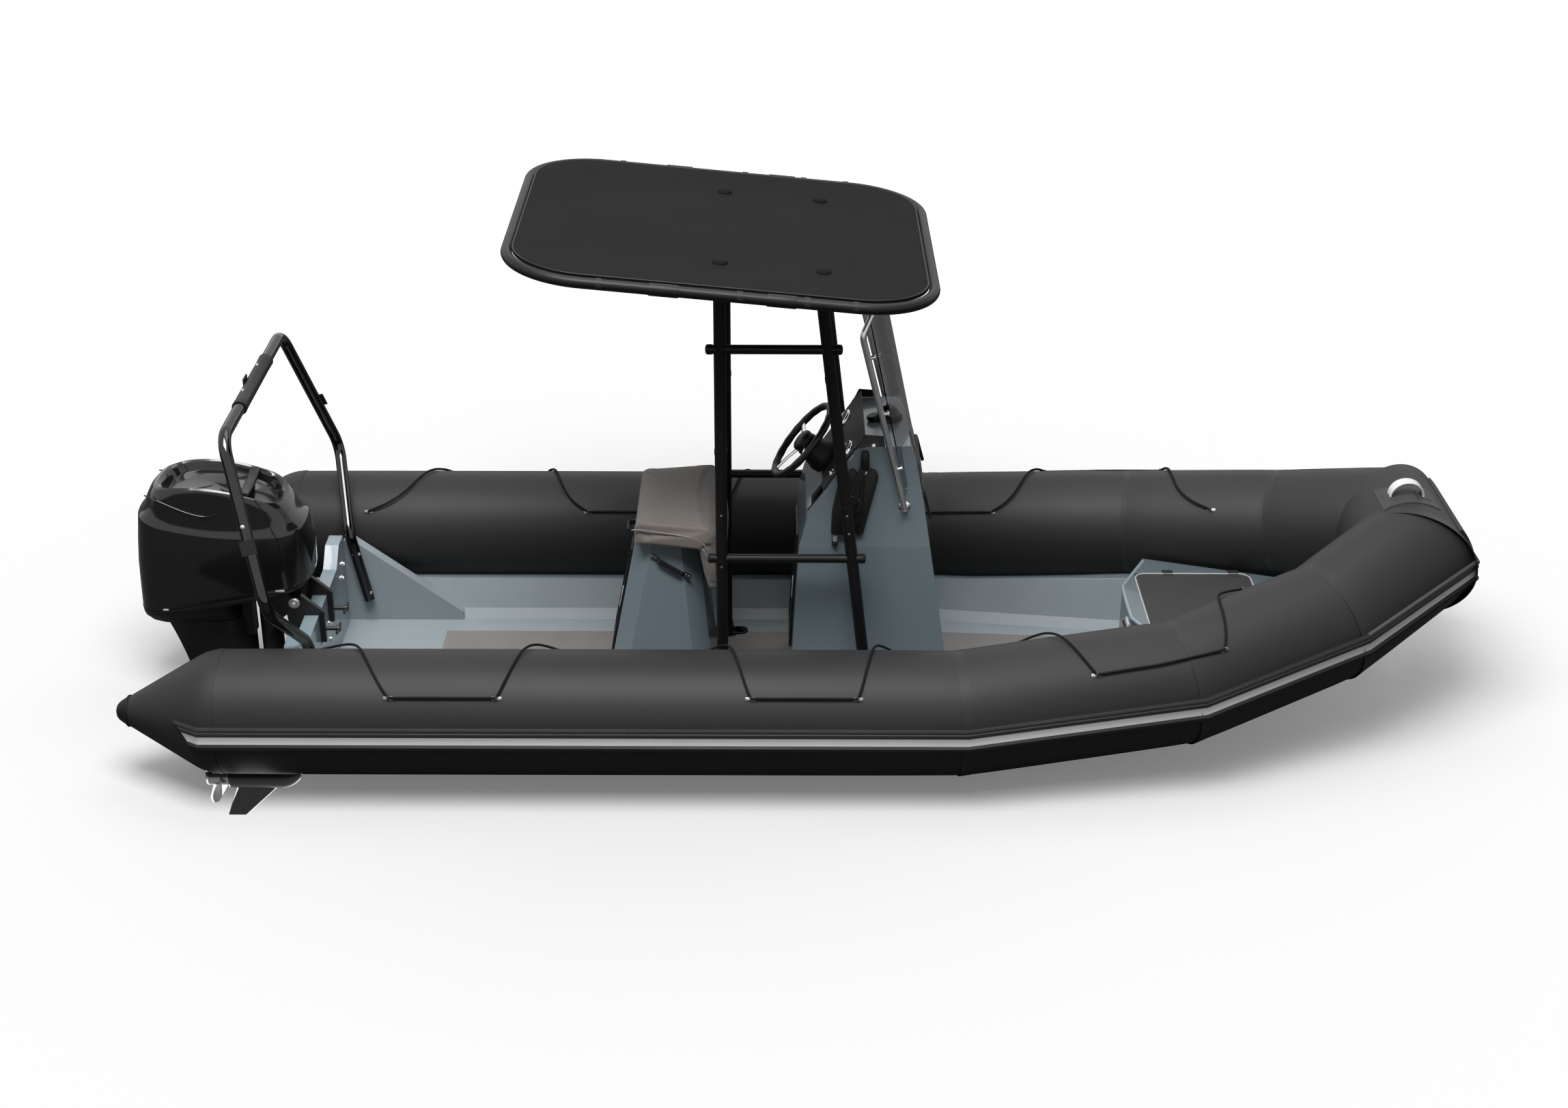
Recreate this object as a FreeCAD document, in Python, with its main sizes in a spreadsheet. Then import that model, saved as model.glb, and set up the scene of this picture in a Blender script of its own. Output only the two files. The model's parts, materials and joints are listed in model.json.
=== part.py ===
"""Open inflatable boat with a rigid vee hull, a helm console, a cloth top, a light arch and an outboard motor.

+X points to the bow, +Y to port, +Z up. The origin lies on the centreline, amidships, in the waterline plane.
All lengths are in millimetres.
"""

import FreeCAD
import Part
import math
import os

import Sketcher

Vec = FreeCAD.Vector

# Driving sizes: one line each, read back from the sheet by name.
SIZES = [
    # side tubes: a straight run, then three rising and narrowing legs to a blunt bow
    ("tube_radius", 250.0), ("tube_y", 860.0), ("tube_z", 300.0),
    ("cone_start_x", -2390.0), ("cone_len", 376.0), ("cap_radius", 50.0), ("shoulder_len", 60.0),
    ("bend_a_x", 590.0),
    ("leg_b_len", 895.0), ("bend_b_y", 730.0), ("bend_b_z", 371.0),
    ("leg_c_len", 638.0), ("bend_c_y", 455.0), ("bend_c_z", 501.0),
    ("leg_d_len", 382.0), ("bend_d_y", 175.0), ("bend_d_z", 640.0),
    ("seat_gap", 0.3), ("overrun", 20.0), ("running_fit", 0.05), ("clear", 6.0),
    # rubbing strake
    ("strake_top", 72.0), ("strake_low", 31.0), ("strake_web", 7.0), ("strake_step", 2.5), ("strake_groove", 5.0),
    ("strake_flange", 9.0), ("strake_gap", 1.0), ("strake_tail", 100.0), ("strake_tail_low", 25.0),
    # lifelines and their eyes
    ("rope_radius", 5.0), ("rope_lift", 10.0), ("eye_base", 9.0), ("eye_plate", 3.0), ("eye_reach", 14.0),
    # hull
    ("transom_x", -2100.0), ("transom_thick", 60.0), ("stem_back", 175.0), ("tube_bite", 30.0),
    ("transom_top", 330.0), ("transom_ear", 407.0), ("ear_clear", 20.0), ("ear_slope", 70.0),
    ("ear_width", 100.0), ("well_slope", 90.0), ("ear_foot_z", 262.0),
    # moulded liner
    ("floor_z", -28.0), ("rim_step", 28.0), ("ledge_step", 52.0), ("floor_step", 30.0), ("ledge_z", 15.0),
    ("liner_wall", 14.0), ("liner_floor", 18.0), ("liner_front_x", 1500.0), ("front_ledge_step", 55.0),
    ("rim_lean", 4.0),
    ("mat_thick", 8.0), ("mat_y", 410.0), ("mat_aft_x", -1640.0), ("mat_front_x", 1340.0), ("mat_front_y", 360.0),
    ("mat_clear", 3.0),
    ("knee_len", 520.0), ("knee_proud", 8.0), ("knee_top", 376.0), ("knee_toe", 40.0),
    # raised bow deck with its locker
    ("deck_z", 352.0), ("deck_gap", 1.0), ("deck_mid_x", 1373.0), ("deck_mid_y", 150.0),
    ("lid_aft_x", 1440.0), ("lid_len", 510.0), ("lid_side_gap", 9.5), ("lid_thick", 14.0), ("lid_gap", 4.0),
    ("lid_land", 22.0), ("lid_corner", 45.0), ("locker_floor_z", 160.0),
    ("hinge_radius", 6.0), ("hinge_len", 44.0), ("hinge_a_x", 1590.0), ("hinge_b_x", 1880.0), ("hinge_lift", 7.0),
    ("leaf_thick", 2.5), ("leaf_width", 26.0),
    ("knuckle_radius", 5.0), ("knuckle_len", 40.0), ("knuckle_off", 2.0), ("hinge_pin", 2.5),
    # console
    ("con_half", 300.0), ("con_foot_aft", -90.0), ("con_foot_front", 610.0), ("con_knee_x", -50.0),
    ("con_knee_z", 760.0), ("dash_low_x", -20.0), ("dash_low_z", 880.0), ("dash_top_x", 190.0),
    ("dash_top_z", 1190.0), ("con_top_front_x", 400.0), ("con_top_front_z", 1200.0), ("con_nose_x", 450.0),
    ("con_nose_z", 1010.0), ("con_front_x", 540.0), ("con_front_z", 450.0), ("con_wall", 8.0),
    ("con_top_half", 265.0),
    ("dash_panel_thick", 6.0), ("dash_panel_half", 235.0), ("gauge_radius", 42.0), ("gauge_proud", 9.0),
    ("hatch_thick", 12.0), ("hatch_gap", 4.0), ("hatch_half", 130.0), ("hatch_low", 225.0), ("hatch_high", 725.0),
    ("knob_radius", 14.0), ("knob_proud", 12.0),
    # steering wheel
    ("wheel_x", -35.0), ("wheel_z", 1108.0), ("wheel_tilt", 40.0), ("wheel_radius", 192.0), ("rim_radius", 14.0),
    ("hub_radius", 34.0), ("hub_deep", 30.0), ("spoke_radius", 7.0), ("helm_radius", 48.0), ("helm_gap", 6.0),
    ("helm_reach", 300.0), ("shaft_radius", 9.0), ("shaft_fit", 0.05), ("shaft_in", 40.0),
    # windscreen and its rail
    ("screen_foot_x", 452.0), ("screen_foot_z", 1020.0), ("screen_top_x", 285.0), ("screen_top_z", 1800.0),
    ("screen_half", 305.0), ("screen_bow", 70.0), ("screen_thick", 5.0),
    ("rail_radius", 12.5), ("rail_foot_x", 380.0), ("rail_y", 318.0), ("rail_foot_z", 940.0),
    ("rail_bend_x", 194.0), ("rail_bend_z", 1690.0), ("rail_top_x", 285.0), ("rail_top_z", 1890.0),
    ("rail_narrow", 68.0), ("rail_bend", 60.0),
    ("lever_low_x", 170.0), ("lever_high_x", 222.0), ("lever_low_z", 870.0), ("lever_high_z", 1110.0),
    ("lever_box", 105.0), ("lever_deep", 60.0), ("lever_x", 165.0), ("lever_z", 965.0), ("lever_len", 225.0),
    ("lever_lean", 45.0), ("lever_radius", 12.0),
    # helm seat
    ("seat_aft", -880.0), ("seat_front", -400.0), ("seat_half", 310.0), ("seat_top_aft", -730.0),
    ("seat_top_front", -470.0), ("seat_top_half", 240.0), ("seat_top_z", 740.0), ("seat_chamfer", 70.0),
    ("seat_wall", 8.0), ("cushion_aft", -740.0), ("cushion_front", -385.0), ("cushion_aft_half", 280.0),
    ("cushion_front_half", 350.0), ("cushion_top", 870.0), ("cushion_back_thick", 90.0), ("apron_low", 570.0),
    ("apron_thick", 70.0), ("cushion_round", 35.0),
    ("seat_hatch_half", 130.0), ("seat_hatch_low", 195.0), ("seat_hatch_high", 655.0),
    ("strap_aft_x", -661.0), ("strap_aft_z", 691.0), ("strap_front_x", -501.0), ("strap_front_z", 596.0),
    ("strap_width", 20.0), ("strap_thick", 7.0), ("strap_pad", 26.0), ("strap_out", 24.0),
    ("rear_strap_z", 700.0), ("rear_strap_half", 80.0), ("rear_strap_out", 40.0),
    # cloth top on four legs
    ("leg_radius", 24.0), ("leg_y", 417.0), ("rear_leg_x", -365.0), ("front_leg_foot_x", 260.0),
    ("front_leg_top_x", 20.0), ("foot_radius", 55.0), ("foot_thick", 8.0), ("low_rail_z", 765.0),
    ("high_rail_z", 1674.0), ("rail_stub", 45.0), ("cross_radius", 18.0),
    ("top_aft_x", -1170.0), ("top_front_x", 460.0), ("top_half", 749.0), ("top_corner", 300.0),
    ("top_tube_radius", 21.0), ("top_level_z", 1982.0), ("cloth_thick", 6.0),
    # light arch
    ("arch_radius", 24.0), ("arch_top_x", -2300.0), ("arch_top_y", 573.0), ("arch_top_z", 1355.0),
    ("arch_knee_x", -2140.0), ("arch_knee_y", 820.0), ("arch_knee_z", 720.0), ("arch_low_x", -2066.0),
    ("arch_low_z", 425.0), ("arch_foot_x", -2000.0),
    ("arch_foot_z", 90.0), ("arch_bend", 110.0), ("bracket_side", 60.0), ("bracket_thick", 5.0),
    ("sleeve_half", 130.0), ("sleeve_wall", 4.0),
    # outboard motor: clamp, swivel, cowling, leg and gearcase
    ("tilt_x", -2195.0), ("tilt_z", 400.0), ("tilt_pin", 14.0), ("pin_proud", 14.0), ("clamp_half", 105.0),
    ("clamp_thick", 22.0), ("clamp_low", 60.0), ("clamp_gap", 6.0), ("clamp_jaw", 24.0), ("clamp_jaw_high", 130.0),
    ("clamp_lip", 14.0), ("clamp_ear", 26.0), ("clamp_back", 40.0), ("clamp_waist", 60.0), ("clamp_foot", 45.0),
    ("swivel_x", -2330.0), ("swivel_radius", 46.0),
    ("swivel_low", 90.0), ("swivel_high", 424.0), ("steer_pin", 20.0), ("arm_dip", 90.0), ("arm_foot", 180.0),
    ("arm_back", 60.0),
    ("cowl_front_x", -2118.0), ("cowl_len", 740.0), ("cowl_half", 190.0), ("cowl_high", 417.0),
    ("seam_front_z", 508.0), ("seam_drop", 136.0), ("cowl_wall", 6.0), ("pan_low_z", 470.0), ("pan_back_z", 330.0),
    ("pan_front_in", 82.0), ("tail_front_in", 322.0), ("tail_low_z", 300.0),
    ("leg_half", 62.0), ("leg_front_x", -2398.0), ("leg_top_z", 284.0), ("yoke_half", 38.0), ("yoke_deep", 16.0),
    ("yoke_low", 28.0), ("spine_deep", 42.0), ("spine_low_z", 200.0),
    ("prop_z", -540.0), ("case_radius", 55.0), ("case_nose_x", -2271.0),
    ("case_back_x", -2585.0), ("plate_z", -352.0), ("plate_thick", 8.0), ("plate_half", 105.0),
    ("plate_front_x", -2330.0), ("plate_len", 430.0),
    ("prop_radius", 130.0), ("prop_hub", 42.0), ("prop_len", 95.0), ("prop_gap", 6.0), ("prop_shaft", 10.0),
    ("blade_half", 5.0), ("skeg_low", -745.0), ("skeg_half", 5.0),
    # bow fittings
    ("handle_span", 150.0), ("handle_rise", 55.0), ("handle_wide", 26.0), ("handle_thick", 8.0),
    ("tow_eye_half", 6.0), ("tow_eye_hole", 12.0), ("tow_eye_plate", 40.0),
    ("bow_eye_back", 90.0), ("stern_eye_y", 480.0), ("stern_eye_z", 60.0), ("patch_half", 150.0), ("patch_thick", 2.0),
]

# Fall of the cloth top from stern to bow, in height over length.
TOP_SLOPE_SHARE = 0.0938


class Size(float):
    """A number that also knows the sheet expression it came from."""

    def __new__(cls, value, text):
        made = float.__new__(cls, value)
        made.text = text
        return made

    def __add__(self, other):
        return Size(float(self) + float(other), "(%s + %s)" % (self.text, text_of(other)))

    def __radd__(self, other):
        return Size(float(other) + float(self), "(%s + %s)" % (text_of(other), self.text))

    def __sub__(self, other):
        return Size(float(self) - float(other), "(%s - %s)" % (self.text, text_of(other)))

    def __rsub__(self, other):
        return Size(float(other) - float(self), "(%s - %s)" % (text_of(other), self.text))

    def __mul__(self, other):
        return Size(float(self) * float(other), "(%s * %s)" % (self.text, text_of(other)))

    __rmul__ = __mul__

    def __truediv__(self, other):
        return Size(float(self) / float(other), "(%s / %s)" % (self.text, text_of(other)))

    def __neg__(self):
        return Size(-float(self), "(0 - %s)" % self.text)


def text_of(value):
    return value.text if isinstance(value, Size) else repr(float(value))


def root(value):
    return Size(math.sqrt(value), "sqrt(%s)" % text_of(value))


doc = FreeCAD.newDocument("InflatableBoat")
sheet = doc.addObject("Spreadsheet::Sheet", "Sizes")
for row, (name, value) in enumerate(SIZES, start=1):
    sheet.set("A%d" % row, name)
    sheet.set("B%d" % row, repr(value))
    sheet.setAlias("B%d" % row, name)
doc.recompute()


class Named:
    pass


n = Named()
for name, value in SIZES:
    setattr(n, name, Size(sheet.get(name), "Sizes." + name))

PARTS = []


def keep(obj, label):
    obj.Label = label
    PARTS.append(obj)
    return obj


def feature(label, shape):
    """A sub-part whose shape is worked out from the named sizes."""
    if shape.ShapeType == "Compound" and len(shape.Solids) == 1:
        shape = shape.Solids[0]
    obj = doc.addObject("Part::Feature", label)
    obj.Shape = shape
    obj.Placement = shape.Placement
    return keep(obj, label)


def main_solid(shape):
    """The largest solid, without the crumbs that a cut can leave."""
    return max(shape.Solids, key=lambda solid: solid.Volume)


def bind(obj, **sizes):
    for prop, value in sizes.items():
        prop = prop.replace("__", ".")
        obj.setExpression(prop, text_of(value))


def hold_point(sk, geometry, end, u, v):
    """Holds one point of a sketch at its named distances from the origin."""
    for kind, value, axis in (("DistanceX", u, -2), ("DistanceY", v, -1)):
        if abs(float(value)) < 1e-9:
            sk.addConstraint(Sketcher.Constraint("PointOnObject", geometry, end, axis))
        else:
            at = sk.addConstraint(Sketcher.Constraint(kind, -1, 1, geometry, end, float(value)))
            sk.setExpression("Constraints[%d]" % at, text_of(value))


def draw_outline(sk, points):
    """A closed outline of straight lines."""
    first, count = sk.GeometryCount, len(points)
    for k in range(count):
        a, b = points[k], points[(k + 1) % count]
        sk.addGeometry(Part.LineSegment(Vec(a[0], a[1], 0), Vec(b[0], b[1], 0)), False)
    for k in range(count):
        sk.addConstraint(Sketcher.Constraint("Coincident", first + k, 2, first + (k + 1) % count, 1))
    for k, (u, v) in enumerate(points):
        hold_point(sk, first + k, 1, u, v)


def draw_circle(sk, u, v, radius):
    at = sk.addGeometry(Part.Circle(Vec(u, v, 0), Vec(0, 0, 1), radius), False)
    hold_point(sk, at, 3, u, v)
    held = sk.addConstraint(Sketcher.Constraint("Radius", at, float(radius)))
    sk.setExpression("Constraints[%d]" % held, text_of(radius))


class Drawn:
    """A PartDesign body built up from pads and pockets; each runs from low to high across its plane."""

    def __init__(self, label):
        self.label = label
        self.body = doc.addObject("PartDesign::Body", label)
        self.count = 0

    def sketch(self, plane, loops, offset):
        self.count += 1
        sk = self.body.newObject("Sketcher::SketchObject", "%s_sketch_%d" % (self.label, self.count))
        face = [f for f in self.body.Origin.OriginFeatures if f.Role == plane + "_Plane"][0]
        sk.AttachmentSupport = [(face, "")]
        sk.MapMode = "FlatFace"
        for loop in loops:
            if loop[0] == "circle":
                draw_circle(sk, *loop[1:])
            else:
                draw_outline(sk, loop)
        sk.setExpression("AttachmentOffset.Base.z", text_of(offset))
        return sk

    def step(self, kind, plane, loops, start, length):
        # the XZ plane looks along -Y, the other two along their positive axis
        sk = self.sketch(plane, loops, start if plane != "XZ" else -start)
        before = self.body.Shape.Volume if self.count > 1 else 0
        made = self.body.newObject("PartDesign::" + kind, "%s_%s_%d" % (self.label, kind, self.count))
        made.Profile = sk
        bind(made, Length=length)
        doc.recompute()
        grown = self.body.Shape.Volume - before
        if grown * (1 if kind == "Pad" else -1) <= 0:
            raise SystemExit("%s: a %s left the body as it was" % (self.label, kind))
        return self

    def pad(self, plane, low, high, *loops):
        return self.step("Pad", plane, loops, high if plane == "XZ" else low, high - low)

    def pocket(self, plane, low, high, *loops):
        return self.step("Pocket", plane, loops, low if plane == "XZ" else high, high - low)

    def fillet_upright(self, radius):
        """Rounds the upright edges of what is drawn so far."""
        edges = []
        for k, edge in enumerate(self.body.Shape.Edges, start=1):
            a, b = edge.Vertexes[0].Point, edge.Vertexes[-1].Point
            if abs(a.z - b.z) > 1e-6 and abs(a.x - b.x) < 1e-6 and abs(a.y - b.y) < 1e-6:
                edges.append("Edge%d" % k)
        tip = self.body.Tip
        made = self.body.newObject("PartDesign::Fillet", self.label + "_fillet")
        made.Base = (tip, edges)
        bind(made, Radius=radius)
        doc.recompute()
        return self

    def done(self):
        return keep(self.body, self.label)


def primitive(kind, label, **sizes):
    """A Part primitive whose sizes are bound to the sheet."""
    obj = doc.addObject("Part::" + kind, label)
    bind(obj, **sizes)
    return obj


def face_of(points):
    return Part.Face(Part.makePolygon(list(points) + [points[0]]))


def prism_y(points, low, high):
    """An XZ outline carried across the beam from low to high."""
    return face_of([Vec(x, low, z) for x, z in points]).extrude(Vec(0, high - low, 0))


def prism_x(points, low, high):
    return face_of([Vec(low, y, z) for y, z in points]).extrude(Vec(high - low, 0, 0))


def prism_z(points, low, high):
    return face_of([Vec(x, y, low) for x, y in points]).extrude(Vec(0, 0, high - low))


def block(x0, x1, y0, y1, z0, z1):
    return Part.makeBox(x1 - x0, y1 - y0, z1 - z0, Vec(x0, y0, z0))


def rod(a, b, radius):
    return Part.makeCylinder(radius, (b - a).Length, a, b - a)


def mirror(shape):
    return shape.mirror(Vec(0, 0, 0), Vec(0, 1, 0))


def bent(points, radii):
    """A wire of straight runs joined by tangent arcs; radii holds one radius for each inner point."""
    edges = []
    here = points[0]
    for k in range(1, len(points) - 1):
        p = points[k]
        back, on = (points[k - 1] - p).normalize(), (points[k + 1] - p).normalize()
        half = back.getAngle(on) / 2
        reach = radii[k - 1] / math.tan(half)
        a, b = p + back * reach, p + on * reach
        mid_way = (back + on).normalize()
        middle = p + mid_way * (radii[k - 1] / math.sin(half) - radii[k - 1])
        if (a - here).Length > 1e-6:
            edges.append(Part.LineSegment(here, a).toShape())
        edges.append(Part.Arc(a, middle, b).toShape())
        here = b
    edges.append(Part.LineSegment(here, points[-1]).toShape())
    return Part.Wire(edges)


def pipe(points, radii, radius):
    """A round bar along a bent path."""
    spine = bent(points, radii)
    ring = Part.Wire(Part.makeCircle(radius, points[0], points[1] - points[0]))
    return spine.makePipeShell([ring], True, False)


def rounded(points, radii):
    """A closed plan outline with each corner rounded by its radius."""
    count = len(points)
    edges, ends = [], []
    for k in range(count):
        p = points[k]
        back, on = (points[k - 1] - p).normalize(), (points[(k + 1) % count] - p).normalize()
        half = back.getAngle(on) / 2
        reach = radii[k] / math.tan(half)
        a, b = p + back * reach, p + on * reach
        middle = p + (back + on).normalize() * (radii[k] / math.sin(half) - radii[k])
        ends.append((a, middle, b))
    for k in range(count):
        a, middle, b = ends[k]
        edges.append(Part.Arc(a, middle, b).toShape())
        after = ends[(k + 1) % count][0]
        if (after - b).Length > 1e-6:
            edges.append(Part.LineSegment(b, after).toShape())
    return Part.Wire(edges)


# Tube centreline, port side, from the stern to the blunt bow.
bend_b_x = n.bend_a_x + n.leg_b_len
bend_c_x = bend_b_x + n.leg_c_len
bend_d_x = bend_c_x + n.leg_d_len
AFT = Vec(n.cone_start_x, n.tube_y, n.tube_z)
LINE = [AFT, Vec(n.bend_a_x, n.tube_y, n.tube_z), Vec(bend_b_x, n.bend_b_y, n.bend_b_z),
        Vec(bend_c_x, n.bend_c_y, n.bend_c_z), Vec(bend_d_x, n.bend_d_y, n.bend_d_z),
        Vec(bend_d_x, -n.bend_d_y, n.bend_d_z)]


def line_at(x):
    """Point of the port centreline at station x."""
    for k in range(4):
        a, b = LINE[k], LINE[k + 1]
        if x <= b.x or k == 3:
            return a + (b - a) * ((x - a.x) / (b.x - a.x))


def mitre_plane(k):
    """Point and normal of the plane that halves the bend at point k of the centreline."""
    p = LINE[k]
    into, out = (p - LINE[k - 1]).normalize(), (LINE[k + 1] - p).normalize()
    return p, (into + out).normalize()


def half_space(point, normal, size):
    """A large block on the side of the plane that the normal points to."""
    turn = FreeCAD.Rotation(Vec(0, 0, 1), normal)
    slab = Part.makeBox(2 * size, 2 * size, size, Vec(-size, -size, 0))
    slab.Placement = FreeCAD.Placement(point, turn)
    return slab


def tube_run(k, radius):
    """Straight run k of the tube, cut at the mitre planes of its two ends."""
    a, b = LINE[k], LINE[k + 1]
    along = (b - a).normalize()
    reach = n.tube_radius
    start = a if k == 0 else a - along * reach
    run = rod(start, b + along * reach, radius)
    if k > 0:
        p, normal = mitre_plane(k)
        run = run.cut(half_space(p, -normal, 3 * reach))
    p, normal = mitre_plane(k + 1)
    return run.cut(half_space(p, normal, 3 * reach))


def cone_angle():
    """Half angle of the cone whose round tip ends cone_len behind the straight tube."""
    angle = math.atan(n.tube_radius / n.cone_len)
    for _ in range(20):
        apex = n.cone_len + n.cap_radius / math.sin(angle) - n.cap_radius
        angle = math.atan(n.tube_radius / apex)
    return angle


def stern_cone():
    """Cone with soft shoulder and round tip, turned about the tube's own axis."""
    r, cap, angle = n.tube_radius, n.cap_radius, cone_angle()
    apex = n.cone_len + cap / math.sin(angle) - cap
    touch = apex - cap / math.tan(angle) * math.cos(angle)
    touch_r = (apex - touch) * math.tan(angle)
    back = n.shoulder_len
    s1 = Vec(back, r, 0)
    s2 = Vec(-back * math.cos(angle), r - back * math.sin(angle), 0)
    s_mid = Vec((back - back * math.cos(angle)) / 2, r - back * math.sin(angle) / 4, 0)
    centre = n.cone_len - cap
    tip_turn = math.pi / 4 - angle / 2
    tip_mid = Vec(-(centre + cap * math.cos(tip_turn)), cap * math.sin(tip_turn), 0)
    edges = [
        Part.LineSegment(Vec(back, 0, 0), s1).toShape(),
        Part.Arc(s1, s_mid, s2).toShape(),
        Part.LineSegment(s2, Vec(-touch, touch_r, 0)).toShape(),
        Part.Arc(Vec(-touch, touch_r, 0), tip_mid, Vec(-n.cone_len, 0, 0)).toShape(),
        Part.LineSegment(Vec(-n.cone_len, 0, 0), Vec(back, 0, 0)).toShape(),
    ]
    cone = Part.Face(Part.Wire(edges)).revolve(Vec(0, 0, 0), Vec(1, 0, 0), 360)
    cone.translate(AFT)
    return cone


first = tube_run(0, n.tube_radius)
wide = 2 * n.tube_radius
aft_cut = block(n.cone_start_x - n.overrun, n.cone_start_x + n.shoulder_len, n.tube_y - wide, n.tube_y + wide,
                n.tube_z - wide, n.tube_z + wide)
side_tube = stern_cone().fuse([first.cut(aft_cut)] + [tube_run(k, n.tube_radius) for k in (1, 2, 3)])
side_tube = side_tube.removeSplitter()
feature("tube_port", side_tube)
feature("tube_starboard", mirror(side_tube))
bow = rod(LINE[4] + Vec(0, wide, 0), LINE[5] - Vec(0, wide, 0), n.tube_radius)
p, normal = mitre_plane(4)
cutter = half_space(p, -normal, 2 * wide)
bow = bow.cut(cutter).cut(mirror(cutter))
feature("tube_bow", bow)


# Rubbing strake: one profile carried round the outside of the tube and mitred at its bends.
def out_and_up(k):
    along = (LINE[k + 1] - LINE[k]).normalize()
    out = Vec(-along.y, along.x, 0).normalize()
    return along, out, out.cross(along) * -1


def ring_x(height):
    return math.sqrt((n.tube_radius + n.strake_gap) ** 2 - height ** 2)


top, low = n.strake_top, n.strake_low
face = n.tube_radius + n.strake_web
ledge = face - n.strake_step
# from the top edge down: a grooved upper rib, a flat band, a flange that stands out, and the tube side
STRAKE = [
    (ring_x(top), top), (ledge, top), (face, top * 0.92), (face, top * 0.8), (face - n.strake_groove, top * 0.74),
    (face, top * 0.66), (face, top * 0.5), (ledge, top * 0.42), (ledge, -low * 0.08),
    (face + n.strake_flange, -low * 0.3), (face + n.strake_flange, -low * 0.7), (face - n.strake_step * 1.32, -low),
    (ring_x(low), -low), (ring_x(0), 0), (ring_x(top / 2), top / 2),
]


def strake_ring(k, plane_point, plane_normal):
    along, out, up = out_and_up(k)
    base = LINE[k]
    ring = []
    for o, u in STRAKE:
        q = base + out * o + up * u
        ring.append(q + along * ((plane_point - q).dot(plane_normal) / along.dot(plane_normal)))
    return ring


def strake_run(k):
    p0, n0 = mitre_plane(k) if k > 0 else (AFT, Vec(1, 0, 0))
    rings = [strake_ring(k, p0, n0), strake_ring(k, *mitre_plane(k + 1))]
    return Part.makeLoft([Part.makePolygon(r + [r[0]]) for r in rings], True, True)


def strake_tail():
    """The strake's aft end, laid along the stern cone and cut off at a slant."""
    root_ring, end_ring = strake_ring(0, AFT, Vec(1, 0, 0)), []
    for (o, u), q in zip(STRAKE, root_ring):
        back = n.strake_tail_low + (n.strake_tail - n.strake_tail_low) * (u + low) / (top + low)
        end_ring.append(q - Vec(back, back * math.tan(cone_angle()), 0))
    return Part.makeLoft([Part.makePolygon(r + [r[0]]) for r in (end_ring, root_ring)], True, True)


side_strake = strake_tail().fuse([strake_run(k) for k in range(4)]).removeSplitter()
feature("strake_port", side_strake)
feature("strake_starboard", mirror(side_strake))
ring = strake_ring(4, *mitre_plane(4))
other = [Vec(q.x, -q.y, q.z) for q in ring]
feature("strake_bow", Part.makeLoft([Part.makePolygon(r + [r[0]]) for r in (ring, other)], True, True))


# Lifelines: eyes on the tube; the rope runs straight between some and is carried over the crown between others.
def on_tube(x, degrees, lift):
    """Point beside the port tube at station x, turned about its axis; 0 is outboard, 90 the crown."""
    k = max([0] + [k for k in range(4) if x > LINE[k].x])
    along, out, up = out_and_up(k)
    turn = math.radians(degrees)
    return line_at(x) + (out * math.cos(turn) + up * math.sin(turn)) * (n.tube_radius + lift)


# eyes from aft: station as a share of the tube radius, and degrees round the tube
EYE_SHARES = [(-8.008, 141.0), (-6.592, 42.0), (-4.908, 42.0), (-4.008, 141.0), (-1.716, 141.0), (-0.968, 42.0),
              (0.708, 42.0), (1.336, 141.0), (3.488, 141.0), (4.400, 48.0), (6.372, 50.0), (7.540, 141.0)]
# the rope between an inner and an outer eye: share of the way along, share of the turn, lift in rope lifts
CROSSING_SHARES = [(0.10, 0.03, 1.3), (0.28, 0.09, 1.9), (0.47, 0.21, 2.0), (0.61, 0.41, 1.7), (0.73, 0.63, 1.4),
                   (0.87, 0.85, 1.2)]
# the rope between two eyes on one side of the tube, where the tube bends between them
INNER_BEND_SHARES = [(0.40, 1.0), (0.55, 1.1)]
EYES = [(share * n.tube_radius, deg) for share, deg in EYE_SHARES]


def lifeline():
    """The rope's route: two points at each eye, and the hand-placed points between eyes."""
    lift = n.rope_lift
    points = [on_tube(EYES[0][0], EYES[0][1], lift)]
    for (x0, d0), (x1, d1) in zip(EYES, EYES[1:]):
        if abs(d0 - d1) > 10:
            table = CROSSING_SHARES
            if d0 < d1:
                table = [(1 - along, 1 - turn, rise) for along, turn, rise in reversed(CROSSING_SHARES)]
            for along, turn, rise in table:
                points.append(on_tube(x0 + (x1 - x0) * along, d0 + (d1 - d0) * turn, lift * rise))
            if x1 != EYES[-1][0]:
                points.append(on_tube(x1 + n.eye_reach, d1, lift))
            continue
        if x0 < LINE[1].x < x1 or x0 < LINE[2].x < x1:
            for along, rise in INNER_BEND_SHARES:
                points.append(on_tube(x0 + (x1 - x0) * along, d0 + (d1 - d0) * along, lift * rise))
        points.append(on_tube(x1 - n.eye_reach, d1, lift))
    points.append(on_tube(EYES[-1][0], EYES[-1][1], lift))
    radii = []
    for k in range(1, len(points) - 1):
        back, on = points[k - 1] - points[k], points[k + 1] - points[k]
        half = back.getAngle(on) / 2
        radii.append(0.45 * min(back.Length, on.Length) * math.tan(half))
    return points, radii


rope_points, rope_radii = lifeline()
rope = pipe(rope_points, rope_radii, n.rope_radius)
print("rope radii", [round(r) for r in rope_radii])
print("rope volume over section times length", rope.Volume / (math.pi * n.rope_radius ** 2
                                                           * bent(rope_points, rope_radii).Length))
feature("lifeline_port", rope)
feature("lifeline_starboard", mirror(rope))

eyes = []
for x, deg in EYES:
    seat, outer = on_tube(x, deg, n.seat_gap), on_tube(x, deg, n.eye_plate)
    eyes.append(Part.makeCylinder(n.eye_base, n.eye_plate, seat, (outer - seat).normalize()))
feature("lifeline_eyes", Part.makeCompound(eyes + [mirror(eye) for eye in eyes]))


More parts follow.
